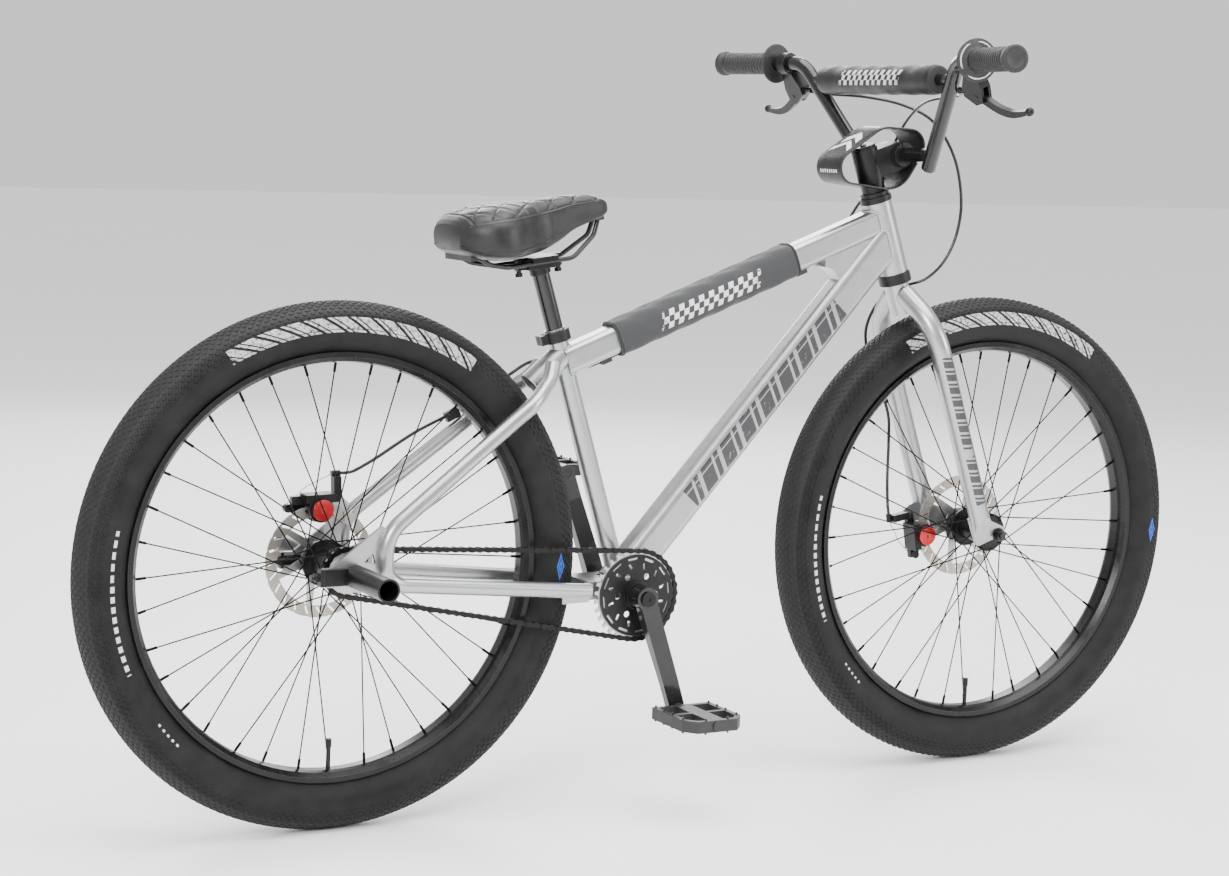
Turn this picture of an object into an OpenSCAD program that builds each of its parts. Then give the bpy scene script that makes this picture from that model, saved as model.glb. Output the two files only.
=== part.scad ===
// Large-wheel BMX bike, straight ahead, standing on its two tyres.
// +X is forward, +Y is the rider's left, +Z is up. Millimetres.
// The origin is on the ground, midway between the two axles.

/* [Wheels] */
// Distance between the two axles
wheelbase = 1090; // [1080:1:1100]
// Outer radius of the tyres
tyre_r = 367; // [366:0.5:368]
// Width of the tyres
tyre_w = 73; // [68:1:76]
// Outer radius of the rims
rim_r = 298; // [297:0.5:299]
// Width of the rims
rim_w = 42; // [40:1:46]
// Spokes in each wheel
spoke_count = 36; // [28:4:36]
// Radius of both brake discs
disc_r = 80; // [78:1:82]

/* [Frame] */
// Angle of the head tube from the ground
head_angle = 71; // [70.5:0.1:71.5]
// Angle of the seat tube from the ground
seat_angle = 72.6; // [72:0.1:73]
// Radius of the head tube
head_tube_r = 23; // [22:0.5:24]
// Radius of the seat tube
seat_tube_r = 14.3; // [14.3:0.1:15.5]
// Depth of the top tube
top_tube_h = 40; // [38:1:42]
// Width of the top tube
top_tube_w = 38; // [34:1:40]
// Depth of the down tube
down_tube_h = 54; // [50:1:56]
// Width of the down tube
down_tube_w = 44; // [40:1:46]
// Wall of the main tubes
wall = 2; // [1.6:0.1:2.5]
// Radius of the rear stays
stay_r = 11; // [10:0.5:11.5]
// Half of the gap between the rear dropouts
rear_half = 67.5; // [67:0.5:68]
// Length of each axle peg
peg_len = 110; // [90:1:115]
// Radius of each axle peg
peg_r = 16; // [15:0.5:17]

/* [Fork] */
// Distance from the steering axis to the front axle
fork_offset = 37; // [35:1:40]
// Radius of the fork legs
leg_r = 16; // [15:0.5:16.5]
// Distance of each fork leg from the middle
leg_y = 74; // [73:0.5:76]
// Half of the gap between the fork dropouts
front_half = 55; // [54.5:0.5:55.5]

/* [Handlebar] */
// Half of the handlebar's width
bar_half = 381; // [360:1:390]
// Radius of the handlebar's tubes
bar_r = 11.1; // [11.1:0.1:11.5]
// Height of the grips above the ground
bar_z = 1088.5; // [1087:0.5:1090]

/* [Drive] */
// Teeth of the chainring
ring_teeth = 32; // [30:1:34]
// Teeth of the freewheel
cog_teeth = 16; // [15:1:17]
// Distance of the chain from the middle
chain_y = 47; // [46.8:0.1:47.2]
// Length of the crank arms
crank_len = 172; // [165:1:175]
// Angle of the right crank arm forward of straight down
crank_angle = 17.9; // [0:0.1:30]

/* [Saddle] */
// Radius of the seatpost
seatpost_r = 12.7; // [12.5:0.1:12.7]
// Length of the saddle
saddle_len = 252; // [248:1:256]
// Width of the saddle
saddle_w = 164; // [155:1:170]

/* [Hidden] */
$fn = 64;

pitch = 12.7;
run_gap = 0.05;
body_gap = 0.3;
axle_x = wheelbase / 2;
ring_r = pitch / (2 * sin(180 / ring_teeth));
cog_r = pitch / (2 * sin(180 / cog_teeth));

// Main points of the frame
bb = [-axle_x + 451, 0, tyre_r - 58.5];
rear = [-axle_x, 0, tyre_r];
front = [axle_x, 0, tyre_r];
seat_dir = [-cos(seat_angle), 0, sin(seat_angle)];
steer_dir = [-cos(head_angle), 0, sin(head_angle)];
steer_fwd = [sin(head_angle), 0, cos(head_angle)];
steer_origin = front - fork_offset * steer_fwd;

// Heights along the steering axis, from the point nearest the front axle
crown_low = 378;
crown_top = 425;
head_low = 442;
head_top = 556;
stem_low = 586;
stem_top = 640;
bar_u = 52.7;
bar_w = 613;
steerer_r = 14.3;

// Rear disc, hub and pads, as distances from the middle
rear_disc_y = 52;
front_disc_y = 42;
pad_r = 73;
disc_t = 2;

function unit(v) = v / norm(v);
function seat_at(t) = bb + t * seat_dir;
function steer_at(u, y, w) = steer_origin + u * steer_fwd + w * steer_dir + [0, y, 0];
function on_circle(r, a) = [r * cos(a), r * sin(a)];

// ---------- helpers ----------

// Turns the children's z axis to point from a to b, and moves them to a
module aim(a, b) {
    v = b - a;
    translate(a)
        rotate([0, acos(v.z / norm(v)), atan2(v.y, v.x)])
            children();
}

module rod(a, b, r) {
    aim(a, b) cylinder(h = norm(b - a), r = r);
}

module ring(r_out, r_in, h) {
    difference() {
        cylinder(h = h, r = r_out);
        translate([0, 0, -1]) cylinder(h = h + 2, r = r_in);
    }
}

module hex(h, flats) {
    cylinder(h = h, r = flats / sqrt(3), $fn = 6);
}

// Round bar along straight runs joined by arcs, one radius per inner point.
// Each arc is a hair thicker than the straight runs, which end just inside it
module bent_rod(path, radii, r) {
    n = len(path);
    lap = 0.8;
    cuts = [for (i = [0 : n - 1])
        (i == 0 || i == n - 1) ? 0
            : radii[i - 1] * tan(turn_angle(path, i) / 2)];
    for (i = [0 : n - 2]) {
        d = unit(path[i + 1] - path[i]);
        from_cut = i == 0 ? 0 : cuts[i] - lap;
        to_cut = i == n - 2 ? 0 : cuts[i + 1] - lap;
        rod(path[i] + from_cut * d, path[i + 1] - to_cut * d, r);
    }
    for (i = [1 : n - 2])
        bend(path, i, radii[i - 1], cuts[i], r + 0.06);
}

function turn_angle(path, i) =
    acos(unit(path[i] - path[i - 1]) * unit(path[i + 1] - path[i]));

module bend(path, i, bend_r, cut, r) {
    d1 = unit(path[i] - path[i - 1]);
    d2 = unit(path[i + 1] - path[i]);
    turn = turn_angle(path, i);
    out = -unit(d2 - (d1 * d2) * d1);
    up = unit(cross(d1, d2));
    c = path[i] - cut * d1 - bend_r * out;
    multmatrix([
        [out.x, d1.x, up.x, c.x],
        [out.y, d1.y, up.y, c.y],
        [out.z, d1.z, up.z, c.z],
        [0, 0, 0, 1]
    ])
        rotate_extrude(angle = turn, $fn = 48) translate([bend_r, 0]) circle(r = r, $fn = 48);
}

// Rounded rectangle, centred
module round_rect(w, h, r) {
    square([w - 2 * r, h], center = true);
    square([w, h - 2 * r], center = true);
    for (x = [-1, 1], y = [-1, 1])
        translate([x * (w / 2 - r), y * (h / 2 - r)]) circle(r = r);
}

// Main tube between two points in the middle plane, h deep and w wide
module plane_tube(a, b, h, w, r, before, after) {
    v = b - a;
    translate(a)
        rotate([0, acos(v.z / norm(v)) * sign(v.x), 0])
            translate([0, 0, -before])
                linear_extrude(height = norm(v) + before + after)
                    round_rect(h, w, r);
}

// Puts the children in the steering frame: x is forward, z is up the steering axis
module steer_frame() {
    translate(steer_origin) rotate([0, head_angle - 90, 0]) children();
}

// Puts the children at a wheel's axle: z runs along the axle towards the right side
module wheel_frame(centre) {
    translate(centre) rotate([90, 0, 0]) children();
}

module both_sides() {
    children();
    mirror([0, 1, 0]) children();
}

// A thin flexible line through points, as one swept solid
function smooth(p, i, t) =
    let (
        n = len(p) - 1,
        a = p[max(i - 1, 0)], b = p[i], c = p[i + 1], d = p[min(i + 2, n)]
    )
    0.5 * (2 * b + (c - a) * t + (2 * a - 5 * b + 4 * c - d) * t * t
        + (3 * b - a - 3 * c + d) * t * t * t);

module line_sweep(points, r, per_span) {
    sides = 8;
    n = len(points) - 1;
    path = concat([for (i = [0 : n - 1], k = [0 : per_span - 1]) smooth(points, i, k / per_span)],
        [points[n]]);
    m = len(path);
    dirs = [for (i = [0 : m - 1]) unit(path[min(i + 1, m - 1)] - path[max(i - 1, 0)])];
    sides_u = [for (d = dirs) unit(cross(d, abs(d.z) > 0.9 ? [0, 1, 0] : [0, 0, 1]))];
    ring_points = [for (i = [0 : m - 1], k = [0 : sides - 1])
        path[i] + r * (cos(360 * k / sides) * sweep_u(dirs, i)
            + sin(360 * k / sides) * cross(dirs[i], sweep_u(dirs, i)))];
    faces = concat(
        [for (i = [0 : m - 2], k = [0 : sides - 1])
            [i * sides + k, (i + 1) * sides + k, (i + 1) * sides + (k + 1) % sides,
                i * sides + (k + 1) % sides]],
        [[for (k = [0 : sides - 1]) k]],
        [[for (k = [0 : sides - 1]) (m - 1) * sides + sides - 1 - k]]
    );
    polyhedron(points = ring_points, faces = faces, convexity = 10);
}

// Carries one sideways vector along the path without twisting it
function sweep_u(dirs, i) =
    i == 0 ? unit(cross(dirs[0], [0.31, 0.17, 0.93]))
        : let (u = sweep_u(dirs, i - 1)) unit(u - (u * dirs[i]) * dirs[i]);

// ---------- main frame ----------

tt_rear = bb + [-82, 0, 345];
tt_front = steer_at(-17, 0, 527);
dt_rear = bb + [27.5, 0, 48.3];
dt_front = steer_at(-77, 0, 453);
yoke_a = seat_at(361);
yoke_b = rear + [296, 0, 244.5];
yoke_r = 19;
collar_t = 392;
seat_tube_len = 402;

// Everything in front of the steering axis
module ahead_of_head() {
    steer_frame() translate([0, -60, 300]) cube([200, 120, 400]);
}

module head_solid() {
    steer_frame() translate([0, 0, head_low]) cylinder(h = head_top - head_low, r = head_tube_r);
}

module seat_solid() {
    rod(seat_at(-5), seat_at(seat_tube_len), seat_tube_r);
}

module shell_solid() {
    translate(bb) rotate([90, 0, 0]) cylinder(h = 73, r = 22, center = true);
}

module yoke_solid() {
    rod(yoke_a, yoke_b, yoke_r);
}

module top_tube_solid(inset) {
    plane_tube(tt_rear, tt_front, top_tube_h - 2 * inset, top_tube_w - 2 * inset, 10 - inset, 60, 40);
}

module down_tube_solid(inset) {
    plane_tube(dt_rear, dt_front, down_tube_h - 2 * inset, down_tube_w - 2 * inset, 13 - inset, 60, 140);
}

module head_tube() {
    color("silver") steer_frame() translate([0, 0, head_low])
        ring(head_tube_r, 17, head_top - head_low);
}

module top_tube() {
    color("silver") difference() {
        top_tube_solid(0);
        top_tube_solid(wall);
        head_solid();
        seat_solid();
        yoke_solid();
        ahead_of_head();
        behind_seat_tube();
    }
}

module behind_seat_tube() {
    translate(bb) rotate([0, seat_angle - 90, 0]) translate([-200, -60, 200]) cube([200, 120, 300]);
}

module down_tube() {
    color("silver") difference() {
        down_tube_solid(0);
        down_tube_solid(wall);
        head_solid();
        shell_solid();
        seat_solid();
        top_tube_solid(0);
        ahead_of_head();
        translate(bb) rotate([0, 90 - 48.4, 0]) translate([-60, -60, -120]) cube([120, 120, 120]);
    }
}

module seat_tube() {
    color("silver") difference() {
        union() {
            seat_solid();
            yoke_solid();
        }
        rod(seat_at(20), seat_at(seat_tube_len + 1), seatpost_r + run_gap);
        rod(yoke_a + 26 * unit(yoke_b - yoke_a), yoke_b + 5 * unit(yoke_b - yoke_a), yoke_r - 3);
        shell_solid();
    }
}

// Web that fills the corner under the top tube, with a hollowed lower edge
module head_gusset() {
    color("silver") difference() {
        translate([0, 15, 0]) rotate([90, 0, 0]) linear_extrude(height = 30) difference() {
            polygon([[232, 776], [232, 800], [300, 840], [330, 840], [300, 800], [262, 752]]);
            translate([232, 755]) circle(r = 26);
        }
        top_tube_solid(0);
        down_tube_solid(0);
        head_solid();
    }
}

// Shell for the crank bearings, with the yoke that carries the rear stays
module bottom_bracket_shell() {
    color("silver") difference() {
        union() {
            shell_solid();
            translate(bb + [-73, -37, -5]) cube([60, 74, 26]);
            both_sides() translate(bb + [0, 0, -6]) linear_extrude(height = 26)
                polygon([[-73, 30], [-71, 37], [-76, 47], [-120, 49], [-120, 44], [-79, 40], [-76, 30]]);
        }
        translate(bb) rotate([90, 0, 0]) cylinder(h = 80, r = 18, center = true);
        both_sides() translate(bb + [0, -36.5, 0]) rotate([90, 0, 0]) cylinder(h = 20, r = 21.2);
        lower_seat_cut();
        both_sides() right_stay_solid(stay_r);
        down_tube_solid(0);
    }
}

module lower_seat_cut() {
    difference() {
        rod(seat_at(10), seat_at(120), seat_tube_r);
        shell_solid();
    }
}

// ---------- rear stays ----------

stay_path = [
    rear + [369, -57, -46.5],
    rear + [44, -77, -14],
    rear + [44, -77, 54],
    rear + [273, -58, 225],
    rear + [311, -30, 255],
    rear + [323, -16, 281]
];
stay_bends = [30, 55, 60, 50];

module right_stay_solid(r) {
    bent_rod(stay_path, stay_bends, r);
}

// Flat plate that holds the axle, with a slot open to the rear and a window
module right_dropout() {
    translate(rear + [0, -rear_half, 0]) rotate([90, 0, 0]) linear_extrude(height = 6)
        difference() {
            polygon([[-46, 12], [-34, 12], [40, 66], [52, 60], [46, 20], [44, -17], [34, -17], [-46, -14]]);
            circle(r = 7.2);
            translate([-60, -7.2]) square([60, 14.4]);
            polygon([[12, 17], [27, 29], [31, 15]]);
        }
}

module right_rear_stay() {
    color("silver") difference() {
        union() {
            right_stay_solid(stay_r);
            right_dropout();
        }
        yoke_solid();
        seat_solid();
        translate(rear + [200, -100, 281]) cube([200, 200, 60]);
    }
}

module left_rear_stay() {
    color("silver") {
        mirror([0, 1, 0]) right_rear_stay();
        brake_frame(rear, rear_disc_y, rear_brake_angle)
            brake_tab([[-38, 17], [-24, 17], [-22, 6], [-34, -30], [-50, -34], [-60, -16], [-54, 2]]);
    }
}

// ---------- bearings, axle and small frame parts ----------

module headset_cups() {
    color("black") steer_frame() {
        translate([0, 0, crown_top + 1]) ring(25, steerer_r + body_gap, head_low - crown_top - 1);
        translate([0, 0, head_low]) ring(17, steerer_r + body_gap, 9);
        translate([0, 0, head_top]) ring(24.5, steerer_r + body_gap, 9);
        translate([0, 0, head_top - 9]) ring(17, steerer_r + body_gap, 9);
    }
}

module bottom_bracket_cups() {
    color("black") translate(bb) rotate([90, 0, 0]) {
        for (s = [0, 1]) mirror([0, 0, s]) {
            translate([0, 0, 36.5]) ring(21, 9.5 + run_gap, 3.5);
            translate([0, 0, 24]) ring(18, 9.5 + run_gap, 12.5);
        }
    }
}

module seat_collar() {
    color("black") difference() {
        union() {
            rod(seat_at(collar_t - 8), seat_at(collar_t + 8), seat_tube_r + 6);
            aim(seat_at(collar_t - 8), seat_at(collar_t + 8))
                translate([seat_tube_r + 1, -9, 1]) cube([13, 18, 14]);
        }
        rod(seat_at(collar_t - 20), seat_at(collar_t + 20), seat_tube_r);
        aim(seat_at(collar_t - 8), seat_at(collar_t + 8))
            translate([seat_tube_r - 2, -1, -1]) cube([30, 2, 30]);
    }
}

module rear_axle() {
    color("dimgray") wheel_frame(rear) {
        translate([0, 0, -90]) cylinder(h = 180, r = 7);
        for (s = [0, 1]) mirror([0, 0, s]) {
            translate([0, 0, 60]) ring(11, 6.9, rear_half - 60);
            translate([0, 0, rear_half + 20]) difference() {
                hex(9, 19);
                translate([0, 0, -1]) cylinder(h = 12, r = 6.9);
            }
        }
    }
}

// Block over each dropout, with a bolt that pulls the axle back
module chain_tensioners() {
    color("black") both_sides() translate(rear + [0, -rear_half - 6, 0]) {
        difference() {
            translate([-46, -7, -11.5]) cube([56, 7, 23]);
            rotate([90, 0, 0]) translate([0, 0, -1]) cylinder(h = 10, r = 7);
        }
        translate([-51, -7, -11.5]) cube([4.7, 13, 23]);
        rod([-51, 3, 0], [-56, 3, 0], 6);
        rod([-56, 3, 0], [-62, 3, 0], 4);
    }
}

module axle_pegs() {
    color("black") both_sides() translate(rear + [0, -rear_half - 13, 0]) rotate([90, 0, 0]) {
        ring(peg_r, 7.05, 7);
        translate([0, 0, 7]) ring(peg_r, peg_r - 2.5, peg_len - 7);
    }
}

hose_r = 2.5;

// Middle of the hose where it lies against the bottom of the top tube
function under_tube(x) =
    let (d = unit(tt_front - tt_rear))
    tt_rear + ((x - tt_rear.x) / d.x) * d - [0, 0, (top_tube_h / 2 + 2.9) / d.x];

module cable_clips() {
    color("black") {
        for (x = [197, -131]) clip_block(under_tube(x));
        translate([-352, 57, 560]) rotate([0, -25, 0]) difference() {
            translate([0, 0, -6]) cube([22, 9, 14]);
            translate([-5, 4.5, 3.6]) rotate([0, 90, 0]) cylinder(h = 40, r = hose_r);
        }
    }
}

// Saddle-shaped clip: bridges the hose under the top tube
module clip_block(at) {
    difference() {
        translate(at) rotate([0, -21.3, 0]) difference() {
            translate([-8, -7, -4.6]) cube([16, 14, 12]);
            translate([-12, 0, 0]) rotate([0, 90, 0]) cylinder(h = 24, r = hose_r + 0.15);
        }
        top_tube_solid(0);
    }
}

// ---------- disc brakes ----------

// Brake frame: x is the way the arm points at rest, z is away from the axle,
// y is outboard, and the origin is in the disc's middle plane at the pads
module brake_frame(axle, disc_y, angle) {
    translate(axle + [0, disc_y, 0]) rotate([0, -angle, 0])
        translate([0, 0, pad_r]) rotate([0, 0, 180]) mirror([0, 1, 0]) children();
}

pad_slot = disc_t / 2 + 1.6;
tab_y = 22;

// Flat tab outboard of the brake, given as points along x and away from the axle
module brake_tab(points) {
    translate([0, tab_y + 5, 0]) rotate([90, 0, 0]) linear_extrude(height = 5) polygon(points);
}

module caliper_body() {
    translate([0, pad_slot, 0]) rotate([-90, 0, 0]) cylinder(h = 17, r = 19);
    translate([0, pad_slot, 0]) rotate([-90, 0, 0]) cylinder(h = 23.4, r = 5);
    translate([0, -pad_slot - 9, 0]) rotate([-90, 0, 0]) cylinder(h = 9, r = 18);
    translate([-21, -pad_slot - 9, 9.5]) cube([42, 2 * pad_slot + 24, 12]);
    translate([-36, pad_slot + 6, 6]) cube([72, 9, 12]);
    for (x = [-30, 30])
        translate([x, pad_slot + 3, 12]) rotate([-90, 0, 0])
            cylinder(h = x < 0 ? tab_y - pad_slot - 3 : 13.7, r = 4.5);
    translate([-38, pad_slot + 6, 14]) cube([11, 12.9, 28]);
    difference() {
        rod([-40, 20, 45], [-27, 20, 45], 4.4);
        rod([-41, 20, 45], [-33.9, 20, 45], hose_r + 0.1);
    }
}

module caliper_knobs() {
    translate([0, -pad_slot - 9, 0]) rotate([90, 0, 0]) difference() {
        cylinder(h = 6.5, r = 15);
        for (a = [0 : 20 : 340])
            rotate([0, 0, a]) translate([15.6, 0, -1]) cylinder(h = 9, r = 1.3);
        translate([0, 0, 4]) cylinder(h = 5, r = 3, $fn = 6);
    }
}

// Cable arm on the outboard face
module caliper_arm() {
    translate([0, pad_slot + 17.3, 0]) rotate([-90, 0, 0]) {
        difference() {
            union() {
                cylinder(h = 5, r = 12);
                linear_extrude(height = 5) polygon([[0, 11.9], [38, 5], [38, -5], [0, -11.9]]);
            }
            translate([0, 0, -1]) cylinder(h = 10, r = 5 + run_gap);
        }
        difference() {
            translate([37, 0, 0]) cylinder(h = 9, r = 6);
            translate([37, 0, 5]) cylinder(h = 9, r = 2.5, $fn = 6);
        }
    }
}

rear_brake_angle = 1.7;
front_brake_angle = 99.5;

module rear_caliper() {
    color("black") brake_frame(rear, rear_disc_y, rear_brake_angle) caliper_body();
}

module rear_brake_knobs() {
    color("firebrick") brake_frame(rear, rear_disc_y, rear_brake_angle) caliper_knobs();
}

module rear_caliper_arm() {
    color("black") brake_frame(rear, rear_disc_y, rear_brake_angle) caliper_arm();
}

module front_caliper() {
    color("black") brake_frame(front, front_disc_y, front_brake_angle) caliper_body();
}

module front_brake_knobs() {
    color("firebrick") brake_frame(front, front_disc_y, front_brake_angle) caliper_knobs();
}

module front_caliper_arm() {
    color("black") brake_frame(front, front_disc_y, front_brake_angle) caliper_arm();
}

// ---------- brake hoses ----------

rear_hose = [
    [331.8, -198.7, 1047.33], [331.8, -196.2, 1047.33], [331.8, -193.6, 1047.33],
    [332.6, -190.6, 1047], [337, -185.6, 1045], [345, -178, 1042],
    [356, -160, 1040], [364, -115, 1038], [372, -60, 1032], [386, -10, 1018],
    [394, 30, 995], [390, 48, 965], [376, 52, 930], [350, 50, 898], [318, 46, 860], [285, 36, 815],
    [247, 27, 797], [224, 12.5, 784.5], under_tube(197), under_tube(110), under_tube(30), under_tube(-50),
    under_tube(-131), [-156, 9, 635.5], [-182, 25, 632], [-208, 36, 642], [-232, 42, 640], [-262, 50, 620],
    [-300, 59, 594], [-340, 61.5, 569], [-400, 62, 541], [-455, 66, 507], [-486, 71.6, 489],
    [-499, 72, 486.4], [-507, 72, 486.2], [-514.5, 72, 486]
];

front_hose = [
    [331.8, 198.7, 1047.33], [331.8, 196.2, 1047.33], [331.8, 193.6, 1047.33],
    [332.6, 190.6, 1047], [337, 185.6, 1045], [346, 177, 1042],
    [360, 158, 1041], [382, 110, 1038], [414, 60, 1027], [450, 30, 1003],
    [478, 10, 950], [488, 0, 885], [482, 0, 831], [464, 5, 789], [438, 14, 762],
    [415, 34, 750], [402, 62, 736], [393, 84, 712], [386, 95, 675], [396, 99, 635],
    [420, 98, 585], [436, 95, 540], [437, 92, 500], [428, 78, 440],
    [419.4, 62, 402.8], [420.7, 62, 394.9], [423, 62, 381.1]
];

module rear_brake_hose() {
    color("black") line_sweep(rear_hose, hose_r, 3);
}

module front_brake_hose() {
    color("black") line_sweep(front_hose, hose_r, 4);
}

// ---------- soft pads ----------

// Sleeve round the top tube
module top_tube_pad() {
    color("dimgray") difference() {
        plane_tube(tt_rear + pad_along(62), tt_rear + pad_along(380), top_tube_h + 13,
            top_tube_w + 13, 16, 0, 0);
        plane_tube(tt_rear, tt_front, top_tube_h + 0.6, top_tube_w + 0.6, 10.3, 0, 0);
        hose_tunnel();
    }
}

function pad_along(t) = t * unit(tt_front - tt_rear);

// Groove for the hose along the bottom of the top tube
module hose_tunnel() {
    plane_tube(under_tube(-150), under_tube(240), 6, 9, 2.9, 0, 0);
}

// Band round the stem, open at both sides, with a hole below for the steerer
module stem_pad() {
    color("black") steer_frame() difference() {
        rotate([90, 0, 0]) linear_extrude(height = 68, center = true) difference() {
            stem_pad_outline(0);
            stem_pad_outline(4.5);
        }
        translate([0, 0, 550]) cylinder(h = 60, r = 22.8);
    }
}

// Outline round three circles, from the back one to the front one
module stem_pad_outline(inset) {
    a = [-44, 624];
    b = [20, 618];
    c = [62, 624];
    ra = 26 - inset;
    rb = 48 - inset;
    rc = 27 - inset;
    t1 = atan2(b.y - a.y, b.x - a.x);
    t2 = atan2(c.y - b.y, c.x - b.x);
    k1 = acos((ra - rb) / norm(b - a));
    k2 = acos((rb - rc) / norm(c - b));
    polygon(concat(
        arc(c, rc, t2 - k2, t2 + k2, 20),
        arc(b, rb, t2 + k2, t1 + k1, 6),
        arc(a, ra, t1 + k1, t1 - k1 + 360, 20),
        arc(b, rb, t1 - k1, t2 - k2, 6)
    ));
}

function arc(c, r, from_a, to_a, n) =
    [for (i = [0 : n]) c + on_circle(r, from_a + (to_a - from_a) * i / n)];

module crossbar_pad() {
    color("black") rotate([90, 0, 0]) translate([crossbar_at.x, crossbar_at.z, -149])
        ring(23, crossbar_r + 0.1, 298);
}

// ---------- seat ----------

saddle_at = seat_at(502);
saddle_tilt = -8;

module saddle_frame() {
    translate(saddle_at) rotate([0, saddle_tilt, 0]) children();
}

module seatpost() {
    color("black") difference() {
        rod(seat_at(270), seat_at(484), seatpost_r);
        rod(seat_at(269), seat_at(470), seatpost_r - 2.2);
    }
}

module saddle_clamp() {
    color("black") {
        difference() {
            union() {
                rod(seat_at(484), seat_at(496), 15);
                saddle_frame() translate([-24, -24, -9]) cube([48, 48, 9]);
            }
            seatpost_top();
            saddle_frame() rail_grooves();
        }
        difference() {
            saddle_frame() translate([-20, -28, 0.2]) cube([40, 56, 7.8]);
            saddle_frame() rail_grooves();
        }
        saddle_frame() for (x = [-31, 31]) {
            translate([x, 0, -14]) cylinder(h = 22, r = 3.5);
            translate([x, 0, -18]) hex(5, 10);
            translate([x > 0 ? 20 : -35, -6, 3]) cube([15, 12, 5]);
            translate([x > 0 ? 24 : -35, -6, -9]) cube([11, 12, 5]);
        }
    }
}

module seatpost_top() {
    rod(seat_at(440), seat_at(484), seatpost_r);
}

module rail_grooves() {
    for (y = [-22, 22]) translate([-60, y, 0]) rotate([0, 90, 0]) cylinder(h = 120, r = 3.55);
}

module saddle_rails() {
    color("dimgray") saddle_frame() both_sides()
        bent_rod([[-114, -37, 26], [-88, -33, 8], [-58, -22, 0], [46, -22, 0], [88, -9, 26], [101, -7, 54]],
            [25, 30, 30, 14], 3.5);
}

// Half width of the saddle at a distance from the nose, 0 to 1
function saddle_half(t) =
    let (tail = saddle_w / 2, nose = 21)
    t < 0.06 ? nose * sqrt(t / 0.06) * 0.75 + 4
        : t < 0.40 ? nose + 10 * (t - 0.06) / 0.34
        : t < 0.78 ? nose + 10 + (tail - nose - 10) * (0.5 - 0.5 * cos(180 * (t - 0.40) / 0.38))
        : tail * sqrt(1 - 0.72 * pow((t - 0.78) / 0.22, 2));

// Heights of the middle of the top and of the underside along the saddle
function saddle_top(t) = lookup(t, [
    [0, 70], [0.04, 78], [0.12, 84], [0.27, 87], [0.44, 86], [0.6, 88], [0.75, 90],
    [0.88, 87], [0.95, 81], [1, 70]
]);
function saddle_low(t) = lookup(t, [
    [0, 57], [0.04, 50], [0.16, 44], [0.26, 37], [0.35, 24], [0.47, 14], [0.58, 13],
    [0.72, 11], [0.85, 16], [0.93, 22], [1, 34]
]);

// Loft of the padded cover: domed sections from nose to tail
module saddle_cover() {
    steps = 28;
    around = 24;
    color("black") saddle_frame() polyhedron(
        points = [for (i = [0 : steps], k = [0 : around - 1])
            let (
                t = i / steps, a = 360 * k / around, c = cos(a), s = sin(a),
                top = saddle_top(t), low = saddle_low(t), mid = low + 0.38 * (top - low),
                y = saddle_half(t) * sign(c) * pow(abs(c), s > 0 ? 0.72 : 0.55),
                z = s > 0 ? mid + (top - mid) * pow(s, 0.72) : mid - (mid - low) * pow(-s, 0.5)
            )
            [116 - saddle_len * t, y, z]],
        faces = concat(
            [for (i = [0 : steps - 1], k = [0 : around - 1])
                [i * around + k, (i + 1) * around + k, (i + 1) * around + (k + 1) % around,
                    i * around + (k + 1) % around]],
            [[for (k = [0 : around - 1]) k]],
            [[for (k = [0 : around - 1]) (steps + 1) * around - 1 - k]]
        ),
        convexity = 6
    );
}

// Moulded tray under the cover, with a socket block for the rails at each end
module saddle_base() {
    color("dimgray") saddle_frame() {
        translate([-122, -42, 18]) cube([16, 84, 14]);
        translate([94, -12, 46]) cube([12, 24, 11]);
    }
}

// ---------- fork and steering ----------

leg_path = [[2, -14, 407], [2, -leg_y, 358], [2, -leg_y, -12]];

module fork_crown() {
    color("silver") steer_frame() difference() {
        union() {
            translate([0, 0, crown_low]) cylinder(h = crown_top - crown_low, r = 19);
            translate([0, 0, crown_top]) cylinder(h = stem_top - 4 - crown_top, r = steerer_r);
        }
        translate([0, 0, crown_low - 1]) cylinder(h = stem_top, r = steerer_r - 2.3);
    }
}

// Plate on the inside of a leg, with a slot for the axle open at the bottom
module front_dropout() {
    translate([0, -front_half, 0]) rotate([90, 0, 0]) linear_extrude(height = 6) difference() {
        union() {
            translate([fork_offset, 0]) circle(r = 15);
            polygon([[-8, 44], [10, 44], [fork_offset + 9, 12], [fork_offset, -15], [8, -12], [-6, 0]]);
        }
        translate([fork_offset, 0]) circle(r = 5.1);
        translate([fork_offset - 5.1, -40]) square([10.2, 40]);
    }
}

module fork_legs() {
    color("silver") steer_frame() both_sides() difference() {
        union() {
            bent_rod(leg_path, [90], leg_r);
            front_dropout();
        }
        translate([0, 0, crown_low - 20]) cylinder(h = 100, r = 19);
        leg_end_cut();
    }
    color("silver") brake_frame(front, front_disc_y, front_brake_angle)
        brake_tab([[-38, 17], [-24, 17], [-18, -2], [-16, -26], [-48, -26], [-46, 2]]);
}

// Slants the bottom of each leg: low on the inside, high on the outside
module leg_end_cut() {
    translate([-30, -leg_y, 22]) rotate([-56, 0, 0]) translate([0, -60, -80]) cube([70, 120, 80]);
}

module headset_spacers() {
    color("black") steer_frame() {
        translate([0, 0, head_top + 9.3]) ring(22, steerer_r, 6);
        translate([0, 0, head_top + 15.3]) ring(18, steerer_r, stem_low - head_top - 15.3);
    }
}

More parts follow.
